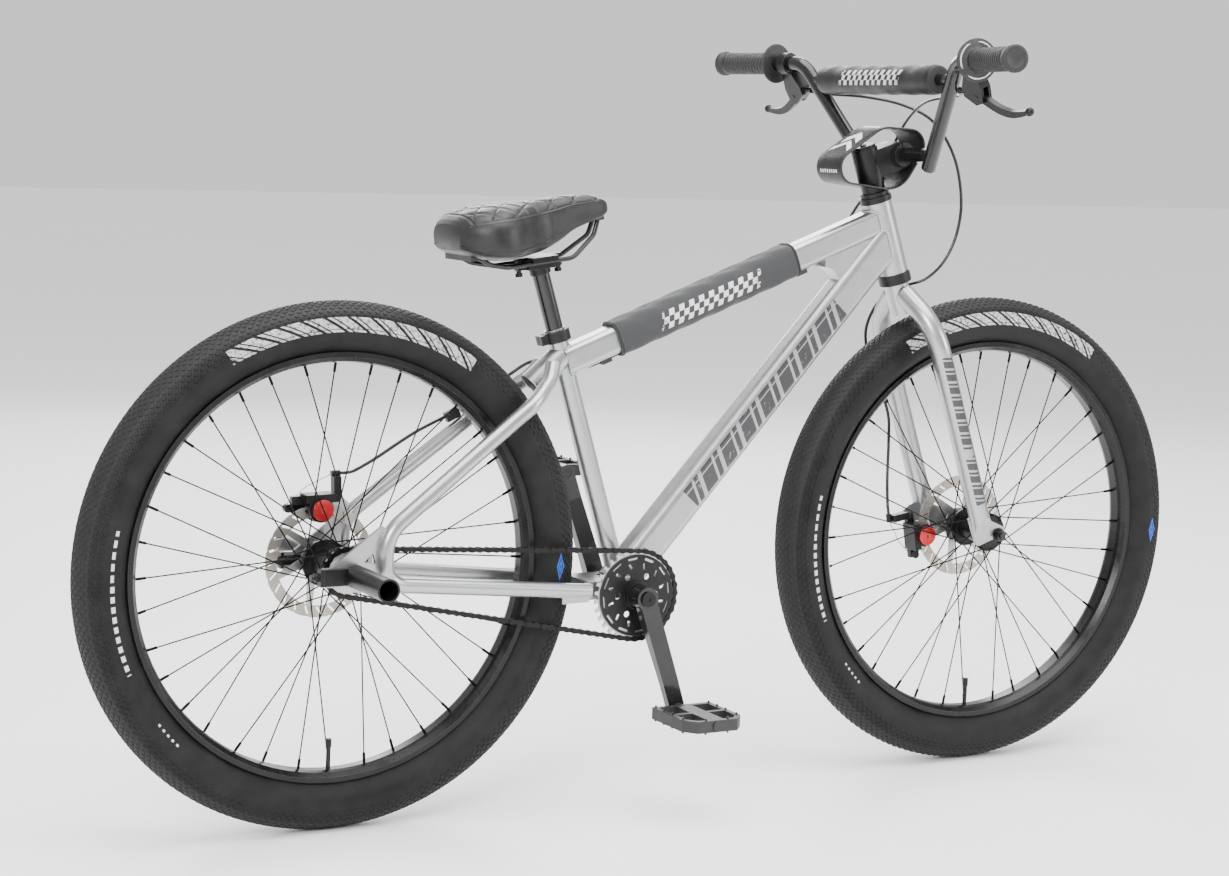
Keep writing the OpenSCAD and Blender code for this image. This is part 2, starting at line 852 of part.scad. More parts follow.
module stem_shape() {
    translate([0, 0, stem_low]) cylinder(h = stem_top - stem_low, r = 20);
    translate([0, -19, stem_low + 6]) cube([bar_u - 2, 38, 42]);
    translate([bar_u, 0, bar_w]) rotate([90, 0, 0]) cylinder(h = 50, r = 18, center = true);
    translate([bar_u - 10, -25, bar_w - 16]) cube([20, 50, 32]);
}

module stem() {
    color("black") steer_frame() difference() {
        union() {
            difference() {
                stem_shape();
                translate([0, 0, stem_low - 1]) cylinder(h = 90, r = steerer_r);
            }
            translate([0, 0, stem_top]) cylinder(h = 4, r = 18);
        }
        translate([bar_u, 0, bar_w]) rotate([90, 0, 0]) cylinder(h = 60, r = bar_r, center = true);
        translate([bar_u - 0.8, -30, bar_w - 30]) cube([1.6, 60, 60]);
        for (y = [-18, 18], w = [-10, 10])
            translate([bar_u + 10, y, bar_w + w]) rotate([0, 90, 0]) cylinder(h = 20, r = 3.8);
        translate([-30, -1, stem_low - 1]) cube([22, 2, stem_top - stem_low + 0.5]);
    }
}

module stem_bolts() {
    color("silver") steer_frame() {
        for (y = [-18, 18], w = [-10, 10])
            translate([bar_u + 10, y, bar_w + w]) rotate([0, 90, 0]) socket_head(3.5, 3);
        translate([0, 0, stem_top + 4]) socket_head(5, 3);
    }
}

module socket_head(r, h) {
    difference() {
        cylinder(h = h, r = r);
        translate([0, 0, h / 2]) cylinder(h = h, r = r * 0.6, $fn = 6);
    }
}

// Handlebar: two bent tubes, a crossbar high up and a clamp tube at the bottom
bar_bend = [320, -203, bar_z];
bar_end = [283, -bar_half, bar_z];
leg_dir = unit([46, 125, -158.5]);
bar_foot = bar_bend + 203 * leg_dir;
clamp_mid = steer_at(bar_u, 0, bar_w);
crossbar_r = 8;
crossbar_at = bar_bend + 34 * leg_dir;
bar_path = [bar_end, bar_bend, bar_foot];

module handlebar() {
    color("black") {
        both_sides() bent_rod(bar_path, [45], bar_r);
        difference() {
            rod(clamp_mid - [0, 98, 0], clamp_mid + [0, 98, 0], bar_r);
            both_sides() bent_rod(bar_path, [45], bar_r);
        }
        difference() {
            rod([crossbar_at.x, -185, crossbar_at.z], [crossbar_at.x, 185, crossbar_at.z], crossbar_r);
            both_sides() bent_rod(bar_path, [45], bar_r);
        }
    }
}

function bar_point(y) = bar_bend + (bar_end - bar_bend) * ((y - 203) / (bar_half - 203));

module grips() {
    color("black") both_sides() {
        aim(bar_point(262), bar_point(bar_half)) {
            length = norm(bar_point(bar_half) - bar_point(262));
            ring(31, bar_r, 4);
            translate([0, 0, 4]) ring(16.5, bar_r, length - 4);
            for (k = [0 : 8]) translate([0, 0, 18 + 10 * k]) ring(17.6, bar_r, 5);
            translate([0, 0, length]) cylinder(h = 5, r = 19.5);
        }
    }
}

// Lever frame: x is outboard, y is towards the bar, z is the lever's pivot axis
lever_pivot = [335, -240, 1040];
lever_up = [-0.4, 0, 0.9165];

module lever_frame() {
    multmatrix([
        [0, lever_up.x, -lever_up.z, lever_pivot.x],
        [-1, 0, 0, lever_pivot.y],
        [0, lever_up.z, lever_up.x, lever_pivot.z],
        [0, 0, 0, 1]
    ])
        children();
}

module right_lever_mount() {
    difference() {
        union() {
            lever_frame() translate([0, 0, -9]) linear_extrude(height = 18)
                polygon([[-27, 15], [-12, 40], [12, 40], [17, 12], [12, -9], [-4, -12], [-27, 2]]);
            aim(bar_point(232), bar_point(248)) cylinder(h = norm(bar_point(248) - bar_point(232)), r = 17);
            lever_frame() rod([-27, 8, 0], [-46, 8, 0], 5);
        }
        rod(bar_point(205), bar_point(260), bar_r);
        lever_frame() translate([-13, -30, -4.6]) cube([60, 43, 9.2]);
        lever_frame() translate([0, 0, -20]) cylinder(h = 40, r = 3);
        lever_frame() rod([-41, 8, 0], [-50, 8, 0], hose_r + 0.1);
    }
    lever_frame() translate([0, 0, -10]) cylinder(h = 20, r = 3);
}

module lever_mounts() {
    color("black") both_sides() right_lever_mount();
}

// Curved blade from the pivot to the ball end
function blade_mid(t) = [101 * t, -24 * t - 13 * sin(180 * t)];
function blade_half(t) = 8 - 4.5 * t;

module right_blade() {
    steps = 14;
    edge = [for (i = [0 : steps]) blade_mid(i / steps)];
    lever_frame() difference() {
        translate([0, 0, -4.2]) linear_extrude(height = 8.4) {
            polygon(concat(
                [for (i = [0 : steps]) edge[i] + [0, blade_half(i / steps)]],
                [for (i = [steps : -1 : 0]) edge[i] - [0, blade_half(i / steps)]]
            ));
            circle(r = 8);
            translate([-9, -7]) square([12, 14]);
        }
        translate([0, 0, -10]) cylinder(h = 20, r = 3 + run_gap);
    }
    lever_frame() translate([101, -24, 0]) sphere(r = 6.5);
}

module right_brake_lever() {
    color("black") right_blade();
}

module left_brake_lever() {
    color("black") mirror([0, 1, 0]) right_blade();
}

module front_axle() {
    color("dimgray") steer_frame() translate([fork_offset, 0, 0]) rotate([90, 0, 0]) {
        translate([0, 0, -74]) cylinder(h = 148, r = 5);
        for (s = [0, 1]) mirror([0, 0, s]) {
            translate([0, 0, 50]) ring(9, 5, front_half - 50);
            translate([0, 0, front_half + 6]) ring(11, 5, 2);
            translate([0, 0, front_half + 8]) difference() {
                hex(8, 15);
                translate([0, 0, -1]) cylinder(h = 10, r = 5);
            }
        }
    }
}

// ---------- wheels, drawn about their own axle ----------

casing_t = 3.2;

module tyre() {
    section = tyre_w / 2;
    half = rim_w / 2;
    rotate_extrude($fn = 128) {
        difference() {
            translate([tyre_r - section, 0]) circle(r = section);
            translate([tyre_r - section, 0]) circle(r = section - casing_t);
            translate([rim_r - 20, -half + 6]) square([tyre_r - section - rim_r + 20, rim_w - 12]);
        }
        for (side = [-1, 1])
            translate([rim_r - 1.5, side * (half - 4.2)]) square([9.6, 3.6], center = true);
    }
}

module rim() {
    half = rim_w / 2;
    rotate_extrude($fn = 128) polygon([
        [rim_r - 15, -8], [rim_r - 15, 8], [rim_r - 13, 14], [rim_r - 7, half], [rim_r, half],
        [rim_r, half - 2.3], [rim_r - 6.4, half - 2.3], [rim_r - 8, half - 8], [rim_r - 8, 8 - half],
        [rim_r - 6.4, 2.3 - half], [rim_r, 2.3 - half], [rim_r, -half], [rim_r - 7, -half],
        [rim_r - 13, -14]
    ]);
}

valve_turn = 0.6;

// Valve stem through the rim, at the bottom of the wheel
module valve() {
    rotate([0, 0, -90 - valve_turn]) {
        rod([rim_r - 10, 0, 0], [rim_r - 46, 0, 0], 3.2);
        rod([rim_r - 45, 0, 0], [rim_r - 57, 0, 0], 4.2);
    }
}

// Crossed spokes: half lean forward and half back, hooked through two flanges
module spokes(flange_left, flange_right, flange_r) {
    per_side = spoke_count / 2;
    for (side = [0, 1], k = [0 : per_side - 1]) {
        way = k % 2 == 0 ? 1 : -1;
        z_flange = side == 0 ? flange_right : -flange_left;
        at_hub = 360 * (k + side * 0.5) / per_side;
        off = way * z_flange > 0 ? 2.6 + 0.053 * abs(z_flange) : 2.6;
        start = on_circle(flange_r, at_hub);
        end = on_circle(rim_r - 15.5, at_hub + way * 1080 / per_side);
        a = [start.x, start.y, z_flange + way * off];
        b = [end.x, end.y, side == 0 ? 5 : -5];
        rod(a - [0, 0, way * (off + 2.4)], a + [0, 0, way * 0.6], 1);
        rod(a, b + 14 * unit(a - b), 1);
        rod(b + 14 * unit(a - b), b, 2);
    }
}

module hub_flange(z, r, t, hole_r) {
    translate([0, 0, z - t / 2]) difference() {
        cylinder(h = t, r = r);
        for (k = [0 : spoke_count / 2 - 1])
            rotate([0, 0, 720 * (k + (z < 0 ? 0.5 : 0)) / spoke_count])
                translate([hole_r, 0, -1]) cylinder(h = t + 2, r = 1.2, $fn = 16);
    }
}

module front_hub_shape() {
    translate([0, 0, -49.7]) cylinder(h = 99.4, r = 11);
    translate([0, 0, -36]) cylinder(h = 76, r = 19);
    translate([0, 0, -front_disc_y + disc_t / 2]) cylinder(h = 8, r = 24);
    hub_flange(36, 30, 3, 27);
    hub_flange(-21.5, 30, 3, 27);
}

module front_hub() {
    color("black") wheel_frame(front) difference() {
        front_hub_shape();
        translate([0, 0, -60]) cylinder(h = 120, r = 5 + run_gap);
    }
}

module rear_hub_shape() {
    translate([0, 0, -59.7]) cylinder(h = 119.4, r = 13);
    translate([0, 0, -46]) cylinder(h = 84, r = 22);
    translate([0, 0, 38]) cylinder(h = 20, r = 17);
    translate([0, 0, -rear_disc_y + disc_t / 2]) cylinder(h = 8, r = 26);
    hub_flange(32, 33, 3, 29.5);
    hub_flange(-32, 33, 3, 29.5);
}

module rear_hub() {
    color("black") wheel_frame(rear) difference() {
        rear_hub_shape();
        translate([0, 0, -70]) cylinder(h = 140, r = 7 + run_gap);
    }
}

// Brake disc: a slotted braking band, six swept arms and six bolts
module disc(hub_hole) {
    linear_extrude(height = disc_t, center = true) {
        difference() {
            circle(r = disc_r, $fn = 96);
            circle(r = disc_r - 17, $fn = 96);
            for (a = [0 : 15 : 345]) rotate(a) {
                translate([disc_r - 9.5, 0]) rotate(32) square([13, 3.2], center = true);
                translate([disc_r + 5.5, 3]) circle(r = 6.5, $fn = 24);
            }
        }
        difference() {
            union() {
                circle(r = 28);
                for (a = [0 : 60 : 300]) rotate(a)
                    polygon([[20, -9], [disc_r - 16.4, 16], [disc_r - 16.4, 25], [20, 6]]);
            }
            circle(r = hub_hole);
        }
    }
    for (a = [30 : 60 : 330]) rotate([0, 0, a]) translate([22.5, 0, 0])
        cylinder(h = disc_t / 2 + 2, r = 3.5);
}

module front_disc() {
    color("silver") wheel_frame(front) translate([0, 0, -front_disc_y]) mirror([0, 0, 1]) disc(17);
}

module rear_disc() {
    color("silver") wheel_frame(rear) translate([0, 0, -rear_disc_y]) mirror([0, 0, 1]) disc(17);
}

module front_tyre() {
    color("black") wheel_frame(front) tyre();
}

module rear_tyre() {
    color("black") wheel_frame(rear) tyre();
}

module front_rim() {
    color("black") wheel_frame(front) {
        rim();
        valve();
    }
}

module rear_rim() {
    color("black") wheel_frame(rear) {
        rim();
        valve();
    }
}

module front_spokes() {
    color("black") wheel_frame(front) spokes(21.5, 36, 27);
}

module rear_spokes() {
    color("black") wheel_frame(rear) spokes(32, 32, 29.5);
}

// ---------- drive ----------

// Toothed plate: roller pockets cut from a disc
module sprocket(teeth, r_pitch, thick, bore) {
    linear_extrude(height = thick, center = true) difference() {
        circle(r = r_pitch + 3.2, $fn = 96);
        for (k = [0 : teeth - 1])
            rotate(360 * k / teeth) translate([r_pitch + 0.8, 0]) circle(r = 4.3, $fn = 24);
        circle(r = bore);
    }
}

module freewheel() {
    color("dimgray") wheel_frame(rear) translate([0, 0, chain_y]) {
        sprocket(cog_teeth, cog_r, 3, 17 + run_gap);
        translate([0, 0, -8]) ring(24, 17 + run_gap, 6.6);
        translate([0, 0, 1.4]) ring(24, 17 + run_gap, 8);
    }
}

module crank_frame() {
    translate(bb) rotate([90, 0, 0]) children();
}

module chainring() {
    color("silver") crank_frame() translate([0, 0, chain_y]) difference() {
        sprocket(ring_teeth, ring_r, 3, 9.5);
        for (a = [0 : 60 : 300]) rotate([0, 0, a]) translate([38, 0, -5]) cylinder(h = 10, r = 12);
    }
}

// Round guard with slots and arcs cut through it
module chain_guard() {
    color("black") crank_frame() translate([0, 0, chain_y + 1.5]) {
        linear_extrude(height = 2.4) difference() {
            circle(r = ring_r - 5.2, $fn = 96);
            circle(r = 9.5);
            for (a = [0 : 30 : 330]) rotate(a + 8) {
                translate([ring_r - 11.5, 0]) square([3.4, 17], center = true);
                translate([ring_r - 22, 5]) rotate(24) square([9, 4.2], center = true);
            }
            for (a = [0 : 60 : 300]) rotate(a) translate([31, 0]) circle(r = 4.6);
        }
        translate([0, 0, 2.4]) ring(20, 9.5, 58 - chain_y - 3.9);
    }
}

module crank_spindle() {
    color("dimgray") crank_frame() {
        for (s = [0, 1]) mirror([0, 0, s]) translate([0, 0, 86]) difference() {
            cylinder(h = 3, r = 11);
            translate([0, 0, 1]) cylinder(h = 4, r = 4.2, $fn = 6);
        }
        translate([0, 0, -86]) cylinder(h = 172, r = 9.5);
    }
}

// Inner and outer faces of a crank arm at the pedal
arm_in = 75.5;
arm_out = 89;

// One arm, pointing straight down before it is turned to its place.
// It flares outwards so that its end clears the rear stays
module crank_arm() {
    difference() {
        union() {
            translate([0, 0, 58]) cylinder(h = 27, r = 17);
            intersection() {
                translate([0, 0, 60]) linear_extrude(height = 40) {
                    polygon([[-13.5, 0], [13.5, 0], [12, -crank_len], [-12, -crank_len]]);
                    translate([0, -crank_len]) circle(r = 12.1);
                }
                rotate([90, 0, 90]) linear_extrude(height = 40, center = true)
                    polygon([[10, 67], [-30, 67], [-130, arm_in], [-200, arm_in],
                        [-200, arm_out], [-130, arm_out], [-30, 85], [10, 85]]);
            }
        }
        translate([0, 0, 50]) cylinder(h = 60, r = 9.5);
        translate([0, -crank_len, 60]) cylinder(h = 40, r = 7.2);
    }
}

module crank_arms() {
    color("black") crank_frame() rotate([0, 0, crank_angle]) {
        crank_arm();
        rotate([0, 0, 180]) mirror([0, 0, 1]) crank_arm();
    }
}

pedal_spot = [crank_len * sin(crank_angle), 0, -crank_len * cos(crank_angle)];

// Platform pedal with an open cage; its axle turns in the arm's eye
module pedal() {
    color("black") {
        translate([0, 0, -8.5]) linear_extrude(height = 17) difference() {
            polygon([[-48, -98], [48, -98], [48, -184], [32, -203], [-32, -203], [-48, -184]]);
            for (s = [-1, 1]) {
                polygon([[13 * s, -106], [40 * s, -106], [40 * s, -146], [13 * s, -146]]);
                polygon([[13 * s, -153], [40 * s, -153], [40 * s, -182], [29 * s, -195], [13 * s, -195]]);
            }
        }
        rotate([90, 0, 0]) {
            translate([0, 0, arm_out + body_gap]) cylinder(h = 16, r = 9);
            translate([0, 0, arm_in + 0.5]) cylinder(h = 18, r = 7.2 - run_gap);
            translate([0, 0, 200]) cylinder(h = 5, r = 8);
        }
        for (x = [-44, 44], y = [-102, -126, -150, -180])
            translate([x, y, -11.5]) cylinder(h = 23, r = 1.6);
        for (x = [-18, 18])
            translate([x, -199, -11.5]) cylinder(h = 23, r = 1.6);
    }
}

module right_pedal() {
    translate(bb + pedal_spot) pedal();
}

module left_pedal() {
    translate(bb - pedal_spot) mirror([0, 1, 0]) pedal();
}

// Loop outline of the chain, offset from its pitch line
module chain_outline(out) {
    d = rear - bb;
    span = norm(d);
    way = atan2(d.z, d.x);
    k = acos((ring_r - cog_r) / span);
    a = on_circle(1, way + k);
    b = on_circle(1, way - k);
    r1 = ring_r + out;
    r2 = cog_r + out;
    c2 = [d.x, d.z];
    circle(r = r1, $fn = 96);
    translate(c2) circle(r = r2, $fn = 96);
    // The straight runs start a hair inside the two circles
    in = 0.06;
    polygon([(r1 - in) * a, c2 + (r2 - in) * a, c2 + (r2 - in) * b, (r1 - in) * b]);
}

// Two rows of side plates with a gap for the teeth, tied by pins on the straight runs
module chain() {
    d = rear - bb;
    way = atan2(d.z, d.x);
    k = acos((ring_r - cog_r) / norm(d));
    color("black") crank_frame() {
        for (z = [chain_y - 4.3, chain_y + 1.9])
            translate([0, 0, z]) linear_extrude(height = 2.4) difference() {
                chain_outline(4.2);
                chain_outline(-3.6);
            }
        for (s = [-1, 1], t = [0.1 : 0.08 : 0.9]) {
            p = on_circle(ring_r, way + s * k) * (1 - t) + ([d.x, d.z] + on_circle(cog_r, way + s * k)) * t;
            translate([p.x, p.y, chain_y - 1.9]) cylinder(h = 3.8, r = 3.6);
        }
    }
}

head_tube();
top_tube();
down_tube();
seat_tube();
head_gusset();
bottom_bracket_shell();
right_rear_stay();
left_rear_stay();
headset_cups();
bottom_bracket_cups();
seat_collar();
rear_axle();
chain_tensioners();
axle_pegs();
rear_caliper();
rear_brake_knobs();
cable_clips();
rear_brake_hose();
top_tube_pad();
chain();
seatpost();
saddle_clamp();
saddle_rails();
saddle_base();
saddle_cover();
fork_crown();
fork_legs();
headset_spacers();
stem();
stem_bolts();
stem_pad();
handlebar();
crossbar_pad();
grips();
lever_mounts();
front_axle();
front_caliper();
front_brake_knobs();
front_brake_hose();
right_brake_lever();
left_brake_lever();
rear_caliper_arm();
front_caliper_arm();
front_tyre();
front_rim();
front_spokes();
front_hub();
front_disc();
rear_tyre();
rear_rim();
rear_spokes();
rear_hub();
rear_disc();
freewheel();
crank_arms();
crank_spindle();
chainring();
chain_guard();
right_pedal();
left_pedal();
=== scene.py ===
from math import acos, atan2, cos, pi, radians, sin, sqrt

import bmesh
import bpy
from mathutils import Matrix, Vector


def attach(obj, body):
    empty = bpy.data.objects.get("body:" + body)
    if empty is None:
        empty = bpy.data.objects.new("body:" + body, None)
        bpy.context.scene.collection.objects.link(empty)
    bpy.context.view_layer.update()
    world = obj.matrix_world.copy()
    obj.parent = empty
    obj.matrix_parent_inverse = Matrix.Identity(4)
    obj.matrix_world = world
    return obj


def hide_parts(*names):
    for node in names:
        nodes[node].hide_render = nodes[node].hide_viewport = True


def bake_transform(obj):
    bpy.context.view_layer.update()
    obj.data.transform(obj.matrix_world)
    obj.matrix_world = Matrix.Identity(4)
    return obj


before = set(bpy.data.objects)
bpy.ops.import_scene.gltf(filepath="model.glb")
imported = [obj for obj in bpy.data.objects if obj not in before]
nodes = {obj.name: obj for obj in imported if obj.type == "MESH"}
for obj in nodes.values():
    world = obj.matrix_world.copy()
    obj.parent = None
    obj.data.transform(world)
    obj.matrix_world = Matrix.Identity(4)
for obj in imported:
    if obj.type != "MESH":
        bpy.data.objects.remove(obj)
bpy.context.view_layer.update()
V = Vector


# ---------------------------------------------------------------- places, in metres

REAR = V((-0.545, 0, 0.367))
FRONT = V((0.545, 0, 0.367))
BB = V((-0.094, 0, 0.3085))
SEAT_DIR = V((-cos(radians(72.6)), 0, sin(radians(72.6))))
STEER_DIR = V((-cos(radians(71)), 0, sin(radians(71))))
STEER_FWD = V((sin(radians(71)), 0, cos(radians(71))))
STEER_O = FRONT - 0.037 * STEER_FWD
SIDE = V((0, 1, 0))


def steer_at(u, y, w):
    return STEER_O + u * STEER_FWD + w * STEER_DIR + y * SIDE


def seat_at(t):
    return BB + t * SEAT_DIR


TT_A = BB + V((-0.082, 0, 0.345))
TT_B = steer_at(-0.017, 0, 0.527)
TT_DIR = (TT_B - TT_A).normalized()
DT_A = BB + V((0.0275, 0, 0.0483))
DT_B = steer_at(-0.077, 0, 0.453)
DT_DIR = (DT_B - DT_A).normalized()


# ---------------------------------------------------------------- node-graph helpers

class Graph:
    """Short names for building one material's nodes."""

    def __init__(self, name):
        self.mat = bpy.data.materials.new(name)
        self.mat.use_nodes = True
        self.t = self.mat.node_tree
        self.bsdf = self.t.nodes["Principled BSDF"]
        self.pos = self.new("ShaderNodeTexCoord").outputs["Object"]

    def new(self, kind):
        return self.t.nodes.new(kind)

    def put(self, socket, value):
        if isinstance(value, bpy.types.NodeSocket):
            self.t.links.new(value, socket)
        elif isinstance(value, (tuple, list, Vector)) and socket.type == "RGBA":
            socket.default_value = tuple(value)[:3] + (1,)
        else:
            socket.default_value = value

    def math(self, op, a, b=0.0, c=0.0):
        n = self.new("ShaderNodeMath")
        n.operation = op
        for i, x in enumerate((a, b, c)):
            self.put(n.inputs[i], x)
        return n.outputs[0]

    def mul(self, a, b):
        return self.math("MULTIPLY", a, b)

    def add(self, a, b):
        return self.math("ADD", a, b)

    def above(self, x, low):
        return self.math("GREATER_THAN", x, low)

    def below(self, x, high):
        return self.math("LESS_THAN", x, high)

    def fract(self, x):
        return self.math("FRACT", x)

    def sine(self, x):
        return self.math("SINE", x)

    def mag(self, x):
        return self.math("ABSOLUTE", x)

    def xyz(self, at=None):
        n = self.new("ShaderNodeSeparateXYZ")
        self.put(n.inputs[0], at or self.pos)
        return tuple(n.outputs)

    def vec(self, op, a, b=(0, 0, 0), out=0):
        n = self.new("ShaderNodeVectorMath")
        n.operation = op
        self.put(n.inputs[0], a)
        if len(n.inputs) > 1:
            self.put(n.inputs[1], b)
        return n.outputs[out]

    def dot(self, a, b):
        return self.vec("DOT_PRODUCT", a, b, 1)

    def along(self, origin, direction):
        return self.dot(self.vec("SUBTRACT", self.pos, tuple(origin)), direction)

    def noise(self, scale, detail=4.0, rough=0.5, at=None, stretch=None):
        at = at or self.pos
        if stretch:
            at = self.vec("MULTIPLY", at, stretch)
        n = self.new("ShaderNodeTexNoise")
        self.put(n.inputs["Vector"], at)
        n.inputs["Scale"].default_value = scale
        n.inputs["Detail"].default_value = detail
        n.inputs["Roughness"].default_value = rough
        return n.outputs["Fac"]

    def cells(self, scale, at=None, feature="F1"):
        n = self.new("ShaderNodeTexVoronoi")
        n.feature = feature
        self.put(n.inputs["Vector"], at or self.pos)
        n.inputs["Scale"].default_value = scale
        return n.outputs["Distance"]

    def fit(self, x, a, b, c=0.0, d=1.0):
        n = self.new("ShaderNodeMapRange")
        self.put(n.inputs["Value"], x)
        for key, v in (("From Min", a), ("From Max", b), ("To Min", c), ("To Max", d)):
            self.put(n.inputs[key], v)
        return n.outputs["Result"]

    def mix(self, fac, a, b):
        n = self.new("ShaderNodeMix")
        n.data_type = "RGBA"
        self.put(n.inputs["Factor"], fac)
        self.put(n.inputs[6], a)
        self.put(n.inputs[7], b)
        return n.outputs[2]

    def inside(self, x, low, high):
        """1 where low < x < high."""
        return self.mul(self.above(x, low), self.below(x, high))

    def both(self, *xs):
        out = xs[0]
        for x in xs[1:]:
            out = self.mul(out, x)
        return out

    def either(self, *xs):
        out = xs[0]
        for x in xs[1:]:
            out = self.math("MAXIMUM", out, x)
        return out

    def inv(self, x):
        return self.math("SUBTRACT", 1.0, x)

    def edges(self, radius=0.0007):
        """Rounded normal near sharp edges."""
        n = self.new("ShaderNodeBevel")
        n.samples = 4
        n.inputs["Radius"].default_value = radius
        return n.outputs["Normal"]

    def worn(self, radius=0.0012):
        """0 on flats, rising to 1 on sharp edges."""
        g = self.new("ShaderNodeNewGeometry")
        d = self.dot(self.edges(radius), g.outputs["Normal"])
        return self.fit(d, 0.995, 0.9)

    def bump(self, height, strength=0.3, distance=0.001, normal=None):
        n = self.new("ShaderNodeBump")
        n.inputs["Strength"].default_value = strength
        n.inputs["Distance"].default_value = distance
        self.put(n.inputs["Height"], height)
        if normal is not None:
            self.put(n.inputs["Normal"], normal)
        return n.outputs["Normal"]

    def done(self, **values):
        names = {"color": "Base Color", "metal": "Metallic", "rough": "Roughness", "normal": "Normal",
                 "coat": "Coat Weight", "coat_rough": "Coat Roughness", "sheen": "Sheen Weight",
                 "sheen_rough": "Sheen Roughness", "spec": "Specular IOR Level", "aniso": "Anisotropic"}
        for k, v in values.items():
            self.put(self.bsdf.inputs[names[k]], v)
        return self.mat


# ---------------------------------------------------------------- materials

PAINT_METAL = 0.9


def silver_paint(name, graphic=None):
    g = Graph(name)
    flake = g.noise(2600, 2, 0.6)
    cloud = g.noise(5, 3)
    base = g.mix(g.fit(cloud, 0.3, 0.7), (0.33, 0.335, 0.345), (0.38, 0.385, 0.395))
    base = g.mix(g.fit(flake, 0.45, 0.75), base, (0.50, 0.50, 0.51))
    rough = g.fit(g.noise(60, 4), 0.3, 0.7, 0.27, 0.36)
    metal = PAINT_METAL
    if graphic:
        mask = graphic(g)
        base = g.mix(mask, base, (0.018, 0.018, 0.02))
        metal = g.fit(mask, 0, 1, PAINT_METAL, 0.0)
    normal = g.bump(flake, 0.05, 0.0002, g.edges(0.0008))
    return g.done(color=base, metal=metal, rough=rough, coat=0.55, coat_rough=0.12, normal=normal)


def black_gloss(name, rough=0.2, tone=0.005):
    g = Graph(name)
    dust = g.noise(35, 5, 0.65)
    peel = g.noise(420, 3)
    base = g.mix(g.fit(dust, 0.45, 0.8), (tone, tone, tone * 1.1), (tone * 2, tone * 2, tone * 2.1))
    base = g.mix(g.worn(0.0009), base, (0.03, 0.03, 0.031))
    return g.done(color=base, rough=g.fit(dust, 0.3, 0.75, rough - 0.05, rough + 0.1), spec=0.3, coat=0.4,
                  coat_rough=0.07, normal=g.bump(peel, 0.04, 0.0003, g.edges(0.0009)))


def black_anodised(name, tone=0.007, rough=0.36):
    g = Graph(name)
    grain = g.noise(1700, 3, 0.6)
    smear = g.noise(28, 5, 0.6)
    base = g.mix(g.fit(smear, 0.4, 0.75), (tone, tone, tone * 1.08), (tone * 2, tone * 2, tone * 2.1))
    base = g.mix(g.mul(g.worn(0.0008), 0.6), base, (0.09, 0.09, 0.093))
    return g.done(color=base, metal=0.55, rough=g.fit(smear, 0.3, 0.7, rough - 0.07, rough + 0.08),
                  normal=g.bump(grain, 0.12, 0.0002, g.edges(0.0006)))


def moulded_plastic(name, tone=0.009, rough=0.5):
    g = Graph(name)
    grain = g.cells(2400)
    base = g.mix(g.noise(40, 4), (tone, tone, tone), (tone * 1.8, tone * 1.8, tone * 1.85))
    return g.done(color=base, rough=g.fit(g.noise(90, 4), 0.3, 0.7, rough - 0.06, rough + 0.08),
                  normal=g.bump(grain, 0.2, 0.0003, g.edges(0.0006)))


def steel(name, tone=(0.55, 0.55, 0.56), rough=0.3, scratch=None):
    g = Graph(name)
    line = g.noise(900, 3, 0.7, stretch=scratch or (1, 0.08, 1))
    base = g.mix(g.fit(line, 0.3, 0.7), tuple(c * 0.82 for c in tone), tone)
    return g.done(color=base, metal=1.0, rough=g.fit(line, 0.3, 0.7, rough - 0.06, rough + 0.1),
                  normal=g.bump(line, 0.12, 0.0002, g.edges(0.0005)))


def disc_steel(name, axle):
    """Ground steel, brushed in circles round the axle, with a used braking band."""
    g = Graph(name)
    d = g.vec("SUBTRACT", g.pos, tuple(axle))
    flat = g.vec("MULTIPLY", d, (1, 0, 1))
    r = g.vec("LENGTH", flat, out=1)
    wander = g.mul(g.noise(30), 0.0006)
    rings = g.sine(g.mul(g.add(r, wander), 9000))
    band = g.inside(r, 0.0635, 0.0795)
    base = g.mix(band, (0.50, 0.49, 0.47), (0.43, 0.395, 0.36))
    base = g.mix(g.fit(rings, -1, 1, 0, 0.25), base, (0.24, 0.22, 0.21))
    return g.done(color=base, metal=1.0, rough=g.fit(g.noise(80), 0.3, 0.7, 0.28, 0.42),
                  normal=g.bump(rings, 0.06, 0.0002, g.edges(0.0004)))


def red_anodised(name):
    g = Graph(name)
    wear = g.worn(0.0008)
    base = g.mix(g.noise(200), (0.42, 0.012, 0.015), (0.60, 0.03, 0.03))
    base = g.mix(g.mul(wear, 0.7), base, (0.85, 0.3, 0.28))
    return g.done(color=base, metal=0.85, rough=0.3, coat=0.4,
                  normal=g.bump(g.noise(1500), 0.08, 0.0002, g.edges()))


def wheel_coords(g, axle):
    """Distance from the axle, turn round it in turns from 0 to 1, and distance sideways."""
    d = g.vec("SUBTRACT", g.pos, tuple(axle))
    x, y, z = g.xyz(d)
    r = g.vec("LENGTH", g.vec("MULTIPLY", d, (1, 0, 1)), out=1)
    turn = g.fit(g.math("ARCTAN2", z, x), -pi, pi, 0.0, 1.0)
    return r, turn, y


TREAD_R = 0.3525


